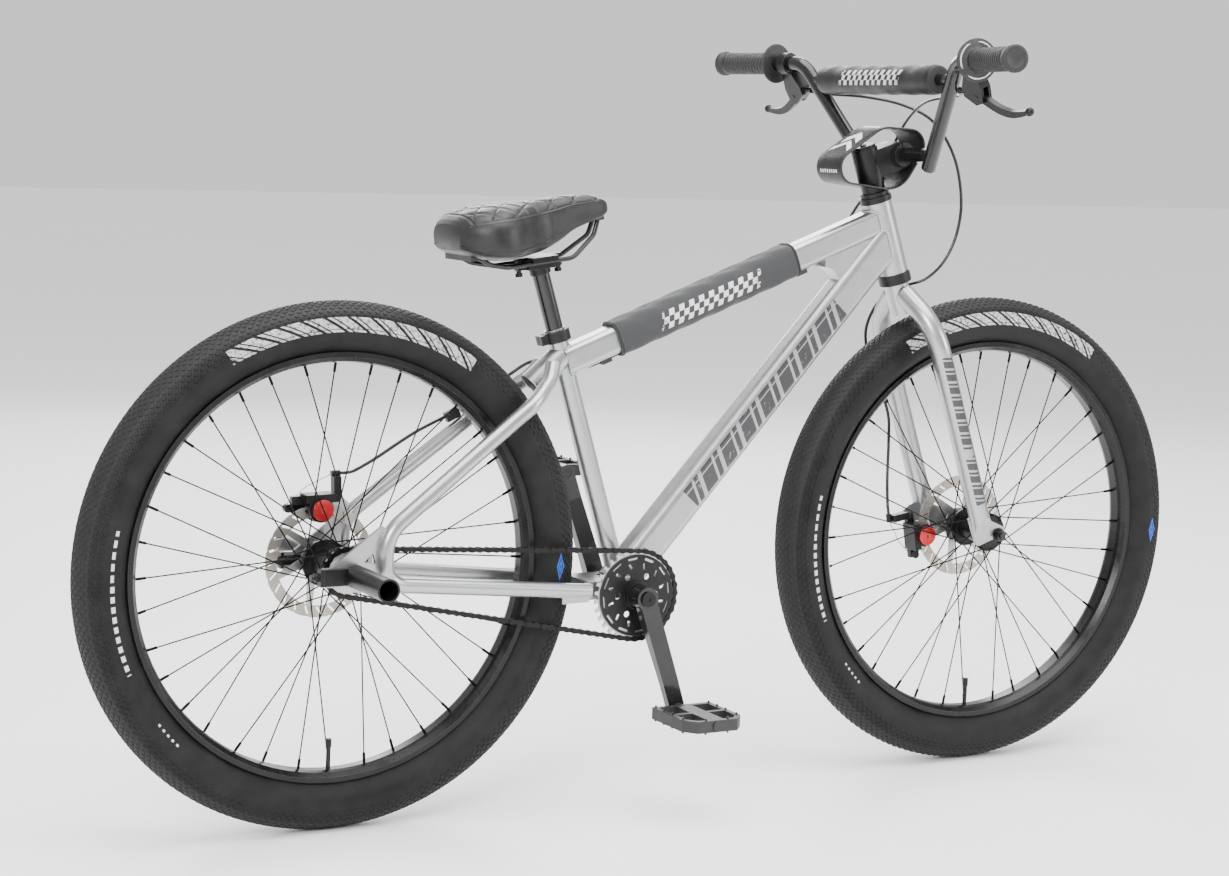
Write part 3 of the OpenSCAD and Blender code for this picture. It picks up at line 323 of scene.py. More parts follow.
def tyre_rubber(name, axle):
    """Black rubber with fine moulding rings, dust in the tread and plain printed bars on the sidewalls."""
    g = Graph(name)
    r, turn, y = wheel_coords(g, axle)
    dust = g.noise(26, 6, 0.65)
    base = g.mix(g.fit(dust, 0.4, 0.8), (0.0055, 0.0055, 0.006), (0.015, 0.015, 0.0155))
    tread = g.above(r, TREAD_R)
    base = g.mix(g.mul(tread, 0.5), base, (0.024, 0.024, 0.0245))

    # A big worn band of slanted silver bars over the top of the wheel
    over_top = g.inside(turn, 0.655, 0.832)
    step = g.fract(g.add(g.mul(turn, 64.0), g.mul(r, -46.0)))
    block = g.either(g.inside(step, 0.10, 0.62), g.inside(step, 0.72, 0.90))
    ring = g.both(g.inside(r, 0.3265, 0.3465), g.inv(g.inside(r, 0.3300, 0.3310)))
    worn = g.fit(g.noise(210, 4, 0.7), 0.34, 0.52)
    big = g.both(over_top, block, ring, worn)

    # Thin light dashes lower on the sidewall, and a small blue lozenge ahead of the wheel
    dashes = [g.both(g.inside(g.fract(g.mul(turn, count)), *share), g.inside(r, *radii), g.inside(turn, *run))
              for count, share, radii, run in (
                  (132.0, (0.2, 0.82), (0.3205, 0.3252), (0.965, 1.0)),
                  (150.0, (0.2, 0.8), (0.3195, 0.3255), (0.0, 0.062)),
                  (210.0, (0.3, 0.7), (0.3195, 0.3225), (0.1, 0.125)))]
    lozenge = g.add(g.mag(g.mul(g.math("SUBTRACT", turn, 0.494), 95.0)),
                    g.mag(g.mul(g.math("SUBTRACT", r, 0.334), 150.0)))
    stripe = g.above(g.fract(g.mul(lozenge, 2.2)), 0.35)
    blue = g.both(g.below(lozenge, 1.0), stripe)
    outer = g.below(y, 0.0)
    silver = g.mul(big, outer)
    white = g.mul(g.either(*dashes), outer)
    base = g.mix(silver, base, g.mix(g.noise(90), (0.34, 0.345, 0.35), (0.62, 0.62, 0.63)))
    base = g.mix(white, base, (0.55, 0.55, 0.55))
    base = g.mix(g.mul(blue, outer), base, (0.02, 0.10, 0.50))
    rings = g.sine(g.mul(r, 5200))
    low = g.inside(r, 0.300, 0.318)
    height = g.add(g.mul(g.mul(rings, low), 0.5), g.mul(g.noise(1500, 3), 0.4))
    return g.done(color=base, rough=g.fit(dust, 0.3, 0.75, 0.46, 0.66), spec=0.18,
                  normal=g.bump(height, 0.35, 0.0004), metal=g.mul(silver, 0.35))


def vinyl(name, tone=0.014, rough=0.42, graphic=None, graphic_color=(0.75, 0.75, 0.74)):
    g = Graph(name)
    leather = g.cells(900, feature="SMOOTH_F1")
    pores = g.cells(2300)
    crease = g.noise(45, 6, 0.6)
    base = g.mix(g.fit(crease, 0.35, 0.7), (tone, tone, tone * 1.05), (tone * 2, tone * 2, tone * 2.1))
    rgh = g.fit(crease, 0.3, 0.7, rough - 0.08, rough + 0.1)
    if graphic:
        mask = graphic(g)
        base = g.mix(mask, base, graphic_color)
    fine = g.add(g.mul(pores, 0.3), g.mul(crease, 0.8))
    height = g.add(g.mul(leather, 0.7), fine)
    return g.done(color=base, rough=rgh, spec=0.3, coat=0.04, coat_rough=0.35,
                  normal=g.bump(height, 0.28, 0.0006))


def woven(name, axis, across, tone=(0.017, 0.0175, 0.019), graphic=None, graphic_color=(0.72, 0.72, 0.71)):
    """Plain weave of two thread directions."""
    g = Graph(name)
    a = g.sine(g.mul(g.dot(g.pos, axis), 2 * pi / 0.0011))
    b = g.sine(g.mul(g.dot(g.pos, across), 2 * pi / 0.0011))
    weave = g.mul(a, b)
    fuzz = g.noise(1300, 4, 0.7)
    wear = g.noise(22, 5)
    base = g.mix(g.fit(weave, -1, 1), tone, tuple(c * 1.7 for c in tone))
    base = g.mix(g.fit(wear, 0.4, 0.8, 0, 0.5), base, tuple(c * 2.0 for c in tone))
    if graphic:
        base = g.mix(graphic(g), base, graphic_color)
    height = g.add(g.mul(weave, 0.5), g.mul(fuzz, 0.5))
    return g.done(color=base, rough=0.78, sheen=0.25, sheen_rough=0.4, normal=g.bump(height, 0.4, 0.0005))


def rubber(name, tone=0.007):
    g = Graph(name)
    base = g.mix(g.noise(50, 5), (tone, tone, tone), (tone * 2, tone * 2, tone * 2))
    return g.done(color=base, rough=g.fit(g.noise(130, 4), 0.3, 0.7, 0.5, 0.68),
                  normal=g.bump(g.noise(1400, 4), 0.25, 0.0004))


def down_tube_blocks(g):
    """Worn dark slanted bars of two widths along the sides of the down tube."""
    s = g.along(DT_A, DT_DIR)
    up = g.along(DT_A, DT_DIR.cross(V((0, -1, 0))))
    step = g.fract(g.add(g.mul(s, 21.0), g.mul(up, 9.5)))
    bars = g.either(g.inside(step, 0.06, 0.60), g.inside(step, 0.70, 0.90))
    rows = g.both(g.inside(up, -0.0175, 0.0175), g.inv(g.inside(up, -0.0105, -0.0088)))
    worn = g.fit(g.noise(160, 5, 0.7, stretch=(1, 1, 0.5)), 0.30, 0.38)
    return g.both(g.inside(s, 0.112, 0.488), bars, rows, worn)


def fork_blocks(g):
    """Dark slanted bars down the outer side of the fork legs."""
    w = g.along(STEER_O, STEER_DIR)
    u = g.along(STEER_O + 0.002 * STEER_FWD, STEER_FWD)
    outer = g.above(g.mag(g.xyz()[1]), 0.078)
    step = g.fract(g.add(g.mul(w, 48.0), g.mul(u, 16.0)))
    bars = g.either(g.inside(step, 0.08, 0.60), g.inside(step, 0.72, 0.90))
    runs = g.either(g.inside(w, 0.070, 0.148), g.inside(w, 0.160, 0.312))
    return g.both(runs, outer, bars, g.inside(u, -0.0088, 0.0088))


def checks(g, a, b, size, half, rows, fade):
    """Slanted checks of a given size, in rows, breaking up into dots towards both ends of their length."""
    a = g.add(a, g.mul(b, 0.35))
    far = g.mag(a)
    ca = g.math("FLOOR", g.math("DIVIDE", g.add(a, 1.0), size))
    cb = g.math("FLOOR", g.math("DIVIDE", g.add(b, rows * size / 2 + 10 * size), size))
    squares = g.above(g.fract(g.mul(g.add(ca, cb), 0.5)), 0.25)
    ends = g.fit(far, half * fade, half, 0.85, -0.1)
    thin = g.above(g.add(g.cells(420), ends), 0.42)
    return g.both(squares, thin, g.below(g.mag(b), rows * size / 2), g.below(far, half))


def tube_pad_graphic(g):
    """Checkered bands on both sides of the top tube pad."""
    mid = TT_A + 0.221 * TT_DIR
    sides = g.above(g.mag(g.xyz()[1]), 0.014)
    up = g.along(mid, TT_DIR.cross(V((0, -1, 0))))
    return g.both(sides, checks(g, g.along(mid, TT_DIR), up, 0.0088, 0.088, 3, 0.55))


def bar_pad_graphic(g):
    """Checkered band on the rear face of the crossbar pad."""
    x, y, z = g.xyz()
    up = g.math("SUBTRACT", z, 1.0655)
    return g.both(g.below(x, 0.322), checks(g, y, up, 0.0075, 0.078, 3, 0.6))


def stem_pad_graphic(g):
    """White chevrons and a bar on the top of the stem band, and dashes on its rear."""
    u = g.along(STEER_O, STEER_FWD)
    w = g.along(STEER_O, STEER_DIR)
    y = g.xyz()[1]
    side = g.mag(y)
    chevron = g.add(u, g.mul(side, 0.75))
    rear = g.both(g.inside(chevron, -0.028, -0.018), g.below(side, 0.024))
    front = g.both(g.inside(chevron, -0.010, 0.004), g.below(side, 0.020))
    bar = g.both(g.inside(u, 0.020, 0.026), g.below(side, 0.022))
    dashes = g.both(g.below(u, -0.062), g.inside(g.fract(g.mul(y, 170.0)), 0.25, 0.75),
                    g.inside(w, 0.624, 0.629), g.below(side, 0.022))
    return g.either(g.both(g.above(w, 0.640), g.either(rear, front, bar)), dashes)


MATS = {
    "silver": silver_paint("silver_paint"),
    "silver_dt": silver_paint("silver_paint_blocks", down_tube_blocks),
    "silver_fork": silver_paint("silver_paint_fork", fork_blocks),
    "weld": silver_paint("silver_weld"),
    "gloss": black_gloss("black_gloss"),
    "crank_black": black_gloss("crank_black", 0.3, 0.006),
    "anodised": black_anodised("black_anodised"),
    "rim": black_anodised("rim_black", 0.006, 0.27),
    "spoke": steel("spoke_black", (0.012, 0.012, 0.013), 0.38),
    "plastic": moulded_plastic("moulded_plastic"),
    "steel": steel("steel"),
    "dark_steel": steel("dark_steel", (0.05, 0.05, 0.052), 0.34),
    "chain": steel("chain_steel", (0.028, 0.027, 0.026), 0.36),
    "red": red_anodised("red_anodised"),
    "front_disc": disc_steel("front_disc_steel", FRONT),
    "rear_disc": disc_steel("rear_disc_steel", REAR),
    "front_tyre": tyre_rubber("front_tyre_rubber", FRONT),
    "rear_tyre": tyre_rubber("rear_tyre_rubber", REAR),
    "rubber": rubber("grip_rubber"),
    "saddle": vinyl("saddle_vinyl", 0.009, 0.38),
    "saddle_side": vinyl("saddle_side_vinyl", 0.007, 0.36),
    "pad_fabric": woven("pad_fabric", TT_DIR, SIDE + TT_DIR.cross(SIDE), graphic=tube_pad_graphic),
    "bar_pad": vinyl("bar_pad_vinyl", 0.007, 0.46, bar_pad_graphic, (0.55, 0.55, 0.55)),
    "stem_pad": vinyl("stem_pad_vinyl", 0.006, 0.40, stem_pad_graphic, (0.72, 0.72, 0.72)),
    "binding": woven("binding_tape", V((1, 0, 0)), V((0, 1, 0)), (0.006, 0.006, 0.0065)),
    "hose": black_gloss("hose_black", 0.3, 0.006),
    "white": moulded_plastic("white_print", 0.42, 0.5),
}

CAD_LOOKS = {
    "silver": ("head_tube", "top_tube", "seat_tube", "head_gusset", "bottom_bracket_shell",
               "right_rear_stay", "left_rear_stay", "fork_crown"),
    "silver_dt": ("down_tube",),
    "silver_fork": ("fork_legs",),
    "gloss": ("handlebar", "seatpost"),
    "crank_black": ("crank_arms",),
    "anodised": ("headset_cups", "bottom_bracket_cups", "seat_collar", "chain_tensioners", "saddle_clamp",
                 "axle_pegs", "crank_spindle", "headset_spacers", "stem", "lever_mounts",
                 "right_brake_lever", "left_brake_lever", "rear_caliper", "front_caliper",
                 "rear_caliper_arm", "front_caliper_arm", "front_hub", "rear_hub", "chain_guard"),
    "rim": ("front_rim", "rear_rim"),
    "spoke": ("front_spokes", "rear_spokes"),
    "plastic": ("cable_clips", "right_pedal", "left_pedal", "saddle_base"),
    "steel": ("stem_bolts", "chainring", "freewheel"),
    "dark_steel": ("rear_axle", "front_axle", "saddle_rails"),
    "red": ("rear_brake_knobs", "front_brake_knobs"),
    "front_disc": ("front_disc",),
    "rear_disc": ("rear_disc",),
}
for look, names in CAD_LOOKS.items():
    for n in names:
        for s in nodes[n].material_slots:
            s.material = MATS[look]


# ---------------------------------------------------------------- mesh helpers

def piece(name, verts, faces, look, body, stands_for=(), smooth=True):
    me = bpy.data.meshes.new(name)
    me.from_pydata([tuple(v) for v in verts], [], faces)
    me.validate()
    bm = bmesh.new()
    bm.from_mesh(me)
    bmesh.ops.recalc_face_normals(bm, faces=bm.faces)
    bm.to_mesh(me)
    bm.free()
    me.materials.append(MATS[look])
    for p in me.polygons:
        p.use_smooth = smooth
    ob = bpy.data.objects.new(name, me)
    bpy.context.scene.collection.objects.link(ob)
    if body:
        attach(ob, body)
    if stands_for:
        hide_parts(*stands_for)
    return ob


def grid_faces(rows, cols, close_cols=True, close_rows=False, start=0):
    out = []
    for i in range(rows if close_rows else rows - 1):
        for k in range(cols if close_cols else cols - 1):
            a, b = start + i * cols + k, start + i * cols + (k + 1) % cols
            c, d = start + ((i + 1) % rows) * cols + (k + 1) % cols, start + ((i + 1) % rows) * cols + k
            out.append((a, b, c, d))
    return out


def power(c, e):
    """Signed power: keeps the sign of c."""
    return (abs(c) ** e) * (1 if c >= 0 else -1)


def frame_of(direction):
    """Three unit vectors at right angles, the last along a direction."""
    z = direction.normalized()
    x = z.orthogonal().normalized()
    return x, z.cross(x), z


def lathe(profile, origin, axis, seg=64):
    """Points (along, radius) turned round an axis: vertices and faces, open unless it ends at radius 0."""
    x, y, z = frame_of(axis)
    verts = [origin + z * a + (x * cos(2 * pi * k / seg) + y * sin(2 * pi * k / seg)) * r
             for a, r in profile for k in range(seg)]
    return verts, grid_faces(len(profile), seg)


def merge(parts):
    verts, faces = [], []
    for v, f in parts:
        n = len(verts)
        verts += list(v)
        faces += [tuple(i + n for i in q) for q in f]
    return verts, faces


def catmull(pts, per):
    out = []
    n = len(pts)
    for i in range(n - 1):
        a, b, c, d = pts[max(i - 1, 0)], pts[i], pts[i + 1], pts[min(i + 2, n - 1)]
        for k in range(per):
            t = k / per
            out.append(0.5 * (2 * b + (c - a) * t + (2 * a - 5 * b + 4 * c - d) * t * t
                              + (3 * b - a - 3 * c + d) * t ** 3))
    return out + [pts[-1]]


def tube(path, radius, sides=12, closed=False):
    """Round tube along a path, without twist. radius is a number or a function of the place from 0 to 1."""
    n = len(path)
    u = None
    verts = []
    for i, p in enumerate(path):
        if closed:
            d = (path[(i + 1) % n] - path[i - 1]).normalized()
        else:
            d = (path[min(i + 1, n - 1)] - path[max(i - 1, 0)]).normalized()
        u = d.orthogonal() if u is None else u - d * u.dot(d)
        u.normalize()
        w = d.cross(u)
        r = radius(i / (n - 1)) if callable(radius) else radius
        verts += [p + (u * cos(2 * pi * k / sides) + w * sin(2 * pi * k / sides)) * r for k in range(sides)]
    faces = grid_faces(n, sides, close_rows=closed)
    if not closed:
        faces += [tuple(range(sides))[::-1], tuple(range((n - 1) * sides, n * sides))]
    return verts, faces


# ---------------------------------------------------------------- tyres

def make_tyre(name, axle, body):
    """Casing turned round the axle, with rows of small diamond knobs over the crown and shoulders."""
    mid_r, shell, top, wall = 0.3305, 0.0352, 0.0364, 0.905
    bead_r, bead_out, bead_in = 0.2915, 0.0180, 0.0150
    seg = 240
    profile = []
    steps = 40
    for i in range(steps + 1):
        a = radians(-153 + 306 * i / steps)
        profile.append((sin(a) * shell, mid_r + cos(a) * shell))
    inner = [(y * wall, mid_r + (r - mid_r) * wall) for y, r in profile[::-1]]
    loop = (profile + [(bead_out, bead_r), (bead_in, bead_r)]
            + inner + [(-bead_in, bead_r), (-bead_out, bead_r)])
    verts = []
    for y, r in loop:
        for k in range(seg):
            t = 2 * pi * k / seg
            verts.append(axle + V((r * cos(t), y, r * sin(t))))
    faces = grid_faces(len(loop), seg, close_rows=True)
    knobs = []
    around = 190
    rows = 17
    half_l, half_w = 0.0050, 0.0034
    for j in range(rows):
        a = radians(-76 + 152 * j / (rows - 1))
        for k in range(around):
            t = 2 * pi * (k + 0.5 * (j % 2)) / around
            base = []
            for lift, grow in ((-0.0004, 1.0), (top - shell, 0.66)):
                for da, dt in ((0, 1), (1, 0), (0, -1), (-1, 0)):
                    aa = a + da * grow * half_w / shell
                    tt = t + dt * grow * half_l / 0.36
                    rr = mid_r + cos(aa) * (shell + lift)
                    base.append(axle + V((rr * cos(tt), sin(aa) * (shell + lift), rr * sin(tt))))
            knobs.append((base, [(4, 5, 6, 7), (0, 1, 5, 4), (1, 2, 6, 5), (2, 3, 7, 6), (3, 0, 4, 7)]))
    kv, kf = merge(knobs)
    piece(name, verts, faces, name, body, (name,))
    piece(name + "_tread", kv, kf, name, body, smooth=False)


make_tyre("front_tyre", FRONT, "front_wheel")
make_tyre("rear_tyre", REAR, "rear_wheel")


# ---------------------------------------------------------------- chain

CHAIN_PITCH = 0.0127
CHAIN_Y = -0.047
RING_TEETH = 32
COG_TEETH = 16


def chain_path():
    """Pitch line of the chain in the x-z plane, as a closed list of evenly spaced points."""
    r1 = CHAIN_PITCH / (2 * sin(pi / RING_TEETH))
    r2 = CHAIN_PITCH / (2 * sin(pi / COG_TEETH))
    d = REAR - BB
    span = sqrt(d.x ** 2 + d.z ** 2)
    way = atan2(d.z, d.x)
    k = acos((r1 - r2) / span)

    def at(c, r, a):
        return V((c.x + r * cos(a), 0, c.z + r * sin(a)))

    arc, run = 160, 200
    pts = [at(BB, r1, way + k + (2 * pi - 2 * k) * i / arc) for i in range(arc)]
    a, b = at(BB, r1, way - k), at(REAR, r2, way - k)
    pts += [a.lerp(b, i / run) for i in range(run)]
    pts += [at(REAR, r2, way - k + 2 * k * i / arc) for i in range(arc)]
    a, b = at(REAR, r2, way + k), at(BB, r1, way + k)
    pts += [a.lerp(b, i / run) for i in range(run)]
    lengths = [0.0]
    for i in range(len(pts)):
        lengths.append(lengths[-1] + (pts[(i + 1) % len(pts)] - pts[i]).length)
    total = lengths[-1]
    count = 2 * round(total / CHAIN_PITCH / 2)
    out, j = [], 0
    for i in range(count):
        s = total * i / count
        while lengths[j + 1] < s:
            j += 1
        f = (s - lengths[j]) / (lengths[j + 1] - lengths[j])
        out.append(pts[j % len(pts)].lerp(pts[(j + 1) % len(pts)], f))
    return out


def link_plate(a, b, y0, y1, r=0.0041, waist=0.0027, seg=8):
    """Figure-of-eight side plate between two pins."""
    d = (b - a).normalized()
    n = V((-d.z, 0, d.x))
    rim = []
    for c, s in ((b, 1), (a, -1)):
        for i in range(seg + 1):
            t = radians(-115 + 230 * i / seg)
            rim.append(c + d * (s * cos(t) * r) + n * (s * sin(t) * r))
        rim.append((a + b) / 2 + n * (s * waist))
    verts = [p + SIDE * y0 for p in rim] + [p + SIDE * y1 for p in rim]
    m = len(rim)
    faces = [tuple(range(m)), tuple(range(2 * m - 1, m - 1, -1))]
    faces += [(i, (i + 1) % m, m + (i + 1) % m, m + i) for i in range(m)]
    return verts, faces


def make_chain():
    """Inner and outer links in turn, each with a pin and a roller."""
    pins = chain_path()
    inner, outer = (0.0019, 0.0029), (0.0030, 0.0040)
    pin = [(-0.0043, 0.0001), (-0.0043, 0.0017), (0.0043, 0.0017), (0.0043, 0.0001)]
    roller = [(-0.0018, 0.0018), (-0.0018, 0.0036), (0.0018, 0.0036), (0.0018, 0.0018)]
    parts = []
    for i, a in enumerate(pins):
        b = pins[(i + 1) % len(pins)]
        near, far = outer if i % 2 else inner
        for s in (-1, 1):
            parts.append(link_plate(a, b, CHAIN_Y + s * near, CHAIN_Y + s * far))
        parts.append(lathe(pin, a + SIDE * CHAIN_Y, SIDE, 8))
        parts.append(lathe(roller, a + SIDE * CHAIN_Y, SIDE, 10))
    v, f = merge(parts)
    piece("chain_links", v, f, "chain", "frame", ("chain",), smooth=False)


make_chain()


# ---------------------------------------------------------------- hoses and inner cables

HOSE_R = 0.00248
UNDER_TUBE = 0.0229


def mm_points(*rows):
    return [V(p) / 1000 for p in rows]


def under_tube(x):
    """Point just below the top tube at a given x, in mm."""
    p = TT_A + ((x / 1000 - TT_A.x) / TT_DIR.x) * TT_DIR
    return p - V((0, 0, UNDER_TUBE / TT_DIR.x))


def lever_exit(s):
    """Where a hose leaves its lever, s = -1 on the right and 1 on the left."""
    return mm_points((331.8, s * 198.7, 1047.33), (331.8, s * 196.2, 1047.33), (331.8, s * 193.6, 1047.33),
                     (332.6, s * 190.6, 1047), (337, s * 185.6, 1045))


REAR_HOSE = (
    lever_exit(-1)
    + mm_points(
        (345, -178, 1042), (356, -160, 1040), (364, -115, 1038), (372, -60, 1032), (386, -10, 1018),
        (394, 30, 995), (390, 48, 965), (376, 52, 930), (350, 50, 898), (318, 46, 860), (285, 36, 815),
        (247, 27, 797), (224, 12.5, 784.5))
    + [under_tube(x) for x in (197, 110, 30, -50, -131)]
    + mm_points(
        (-156, 9, 635.5), (-182, 25, 632), (-208, 36, 642), (-232, 42, 640), (-262, 50, 620),
        (-300, 59, 594), (-340, 61.5, 569), (-400, 62, 541), (-455, 66, 507), (-486, 71.6, 489),
        (-499, 72, 486.4), (-507, 72, 486.2), (-514.5, 72, 486)))
FRONT_HOSE = (
    lever_exit(1)
    + mm_points(
        (346, 177, 1042), (360, 158, 1041), (382, 110, 1038), (414, 60, 1027), (450, 30, 1003),
        (478, 10, 950), (488, 0, 885), (482, 0, 831), (464, 5, 789), (438, 14, 762), (415, 34, 750),
        (402, 62, 736), (393, 84, 712), (386, 95, 675), (396, 99, 635), (420, 98, 585), (436, 95, 540),
        (437, 92, 500), (428, 78, 440), (419.4, 62, 402.8), (420.7, 62, 394.9), (423, 62, 381.1)))

v, f = tube(catmull(REAR_HOSE, 8), HOSE_R, 14)
hose = piece("rear_hose", v, f, "hose", None, ("rear_brake_hose",))
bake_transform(hose)
v, f = tube(catmull(FRONT_HOSE, 8), HOSE_R, 14)
piece("front_hose", v, f, "hose", "steering", ("front_brake_hose",))


BRAKE_R = 0.073


def brake_point(axle, disc_y, angle, x, y, z):
    """A point given in the brake's own frame, as part.scad uses it."""
    a = radians(angle)
    r = V((-sin(a), 0, cos(a)))
    t = V((-cos(a), 0, -sin(a)))
    return axle + SIDE * (disc_y + y) + r * (BRAKE_R + z) + t * x


def inner_cable(name, axle, disc_y, angle):
    """Bare cable from the end of the hose past its guide to the brake's arm."""
    a = brake_point(axle, disc_y, angle, -0.028, 0.020, 0.045)
    b = brake_point(axle, disc_y, angle, 0.010, 0.022, 0.0285)
    c = brake_point(axle, disc_y, angle, 0.037, 0.0275, 0.0055)
    v, f = tube(catmull([a, a.lerp(b, 0.5), b, b.lerp(c, 0.5), c], 5), 0.0008, 8)
    ob = piece(name, v, f, "steel", None)
    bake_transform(ob)


inner_cable("rear_inner_cable", REAR, 0.052, 1.7)
inner_cable("front_inner_cable", FRONT, 0.042, 99.5)


# ---------------------------------------------------------------- grips

GRIP_FROM = 0.262
GRIP_TO = 0.381


def grip_ends(side):
    """Inner and outer end of a grip on the bar's line."""
    a, b = V((0.320, -0.203, 1.0885)), V((0.283, -0.381, 1.0885))
    ends = [a + (b - a) * ((y - 0.203) / (0.381 - 0.203)) for y in (GRIP_FROM, GRIP_TO)]
    return [V((p.x, p.y * (-1 if side == "left" else 1), p.z)) for p in ends]


def make_grip(side):
    """Ribbed grip with a round guard at its inner end."""
    start, end = grip_ends(side)
    length = (end - start).length
    prof = [(0.0, 0.0113), (0.0, 0.0298), (0.0006, 0.0308), (0.0030, 0.0310), (0.0040, 0.0302),
            (0.0048, 0.0200), (0.0066, 0.0178)]
    ribs = 15
    first, last = 0.010, length - 0.012
    w = (last - first) / ribs
    for i in range(ribs):
        s = first + (last - first) * i / ribs
        prof += [(s + w * a, r) for a, r in ((0.05, 0.0162), (0.15, 0.0172), (0.62, 0.0174), (0.74, 0.0162))]
    prof.append((last + 0.001, 0.0168))
    prof += [(length + a, r) for a, r in (
        (-0.006, 0.0170), (-0.004, 0.0192), (0.003, 0.0195), (0.005, 0.0184), (0.0052, 0.0120),
        (0.0040, 0.0110), (0.0040, 0.0001))]
    return lathe(prof, start, end - start, 72)


v, f = merge([make_grip("right"), make_grip("left")])
piece("grip_pair", v, f, "rubber", "steering", ("grips",))


def guard_marks(side):
    """Raised light arcs on the outer face of a grip's guard, tapering at both ends."""
    a, b = grip_ends(side)
    x, y, z = frame_of(b - a)
    parts = []
    for start in range(3):
        path = []
        for i in range(17):
            t = radians(start * 120 + 14 + 92 * i / 16)
            path.append(a + z * 0.0042 + (x * cos(t) + y * sin(t)) * 0.0258)
        parts.append(tube(path, lambda q: 0.0012 * min(1.0, 6 * q + 0.25, 6 * (1 - q) + 0.25), 8))
    return parts


v, f = merge(guard_marks("right") + guard_marks("left"))
piece("guard_marks", v, f, "white", "steering")


# ---------------------------------------------------------------- soft pads

PUFF_FRAMES = 20


def puff(ob, pinned, strength, cap):
    """Swells a sheet as cloth, holding the pinned vertices and limiting how far any point moves."""
    scene = bpy.context.scene
    rest = [v.co.copy() for v in ob.data.vertices]
    group = ob.vertex_groups.new(name="held")
    group.add(pinned, 1.0, "REPLACE")
    mod = ob.modifiers.new("swell", "CLOTH")
    s = mod.settings
    s.quality = 6
    s.mass = 0.2
    s.tension_stiffness = 12
    s.compression_stiffness = 8
    s.shear_stiffness = 5
    s.bending_stiffness = 0.3
    s.vertex_group_mass = "held"
    s.use_pressure = True
    s.uniform_pressure_force = strength
    s.effector_weights.gravity = 0
    mod.collision_settings.use_collision = False
    mod.point_cache.frame_start = 1
    mod.point_cache.frame_end = PUFF_FRAMES
    for i in range(1, PUFF_FRAMES + 1):
        scene.frame_set(i)
    deps = bpy.context.evaluated_depsgraph_get()
    moved = [v.co.copy() for v in ob.evaluated_get(deps).data.vertices]
    ob.modifiers.remove(mod)
    ob.vertex_groups.remove(group)
    scene.frame_set(1)
    for v, a, b in zip(ob.data.vertices, rest, moved):
        d = b - a
        if d.length > cap:
            d *= cap / d.length
        v.co = a + d


def held_rows(rows, cols):
    """Vertices of a sleeve's three end rows at both ends, and along its seam."""
    ends = (0, 1, 2, rows - 3, rows - 2, rows - 1)
    return [i for i in range(rows * cols) if i // cols in ends or i % cols == 0]


def rounded_outline(half_a, half_b, n):
    """n points evenly round a rounded rectangle, starting in the middle of the low side."""
    fine, corner = 4000, 2 / 3.4
    pts = []
    for i in range(fine):
        t = 2 * pi * i / fine - pi / 2
        pts.append((half_a * power(cos(t), corner), half_b * power(sin(t), corner)))
    lengths = [0.0]
    for i in range(fine):
        a, b = pts[i], pts[(i + 1) % fine]
        lengths.append(lengths[-1] + sqrt((a[0] - b[0]) ** 2 + (a[1] - b[1]) ** 2))
    out, j = [], 0
    for i in range(n):
        s = lengths[-1] * i / n
        while lengths[j + 1] < s:
            j += 1
        out.append(pts[j])
    return out


def make_tube_pad():
    """Sleeve of padded fabric round the top tube, closed by a seam underneath, with bound ends."""
    a, b = TT_A + 0.062 * TT_DIR, TT_A + 0.380 * TT_DIR
    up = TT_DIR.cross(V((0, -1, 0)))
    rows, cols = 90, 72
    ring = rounded_outline(0.0248, 0.0256, cols)
    verts = []
    for i in range(rows):
        t = i / (rows - 1)
        end = min(t, 1 - t) * (b - a).length
        pinch = 1 - 0.05 * max(0.0, 1 - end / 0.008)
        c = a.lerp(b, t)
        for p in ring:
            q = 0.0006 * sin(t * 41 + p[0] * 160) * min(1.0, end / 0.02)
            verts.append(c + SIDE * (p[0] * pinch) + up * (p[1] * pinch + q))
    ob = piece("tube_pad", verts, grid_faces(rows, cols), "pad_fabric", None)
    puff(ob, held_rows(rows, cols), 6.0, 0.0014)
    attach(ob, "frame")
    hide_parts("top_tube_pad")
    sub = ob.modifiers.new("smooth", "SUBSURF")
    sub.levels = sub.render_levels = 1
    parts = []
    for c, d in ((a, 1), (b, -1)):
        path = [c + TT_DIR * (d * 0.0012) + SIDE * (p[0] * 0.955) + up * (p[1] * 0.955) for p in ring]
        parts.append(tube(path, 0.0021, 8, closed=True))
        inner = [c + TT_DIR * (d * 0.0006) + SIDE * (p[0] * 0.80) + up * (p[1] * 0.815) for p in ring]
        outer = [c + TT_DIR * (d * 0.0006) + SIDE * (p[0] * 0.955) + up * (p[1] * 0.955) for p in ring]
        parts.append((inner + outer, grid_faces(2, cols)))
    v, f = merge(parts)
    piece("tube_pad_binding", v, f, "binding", "frame")


make_tube_pad()


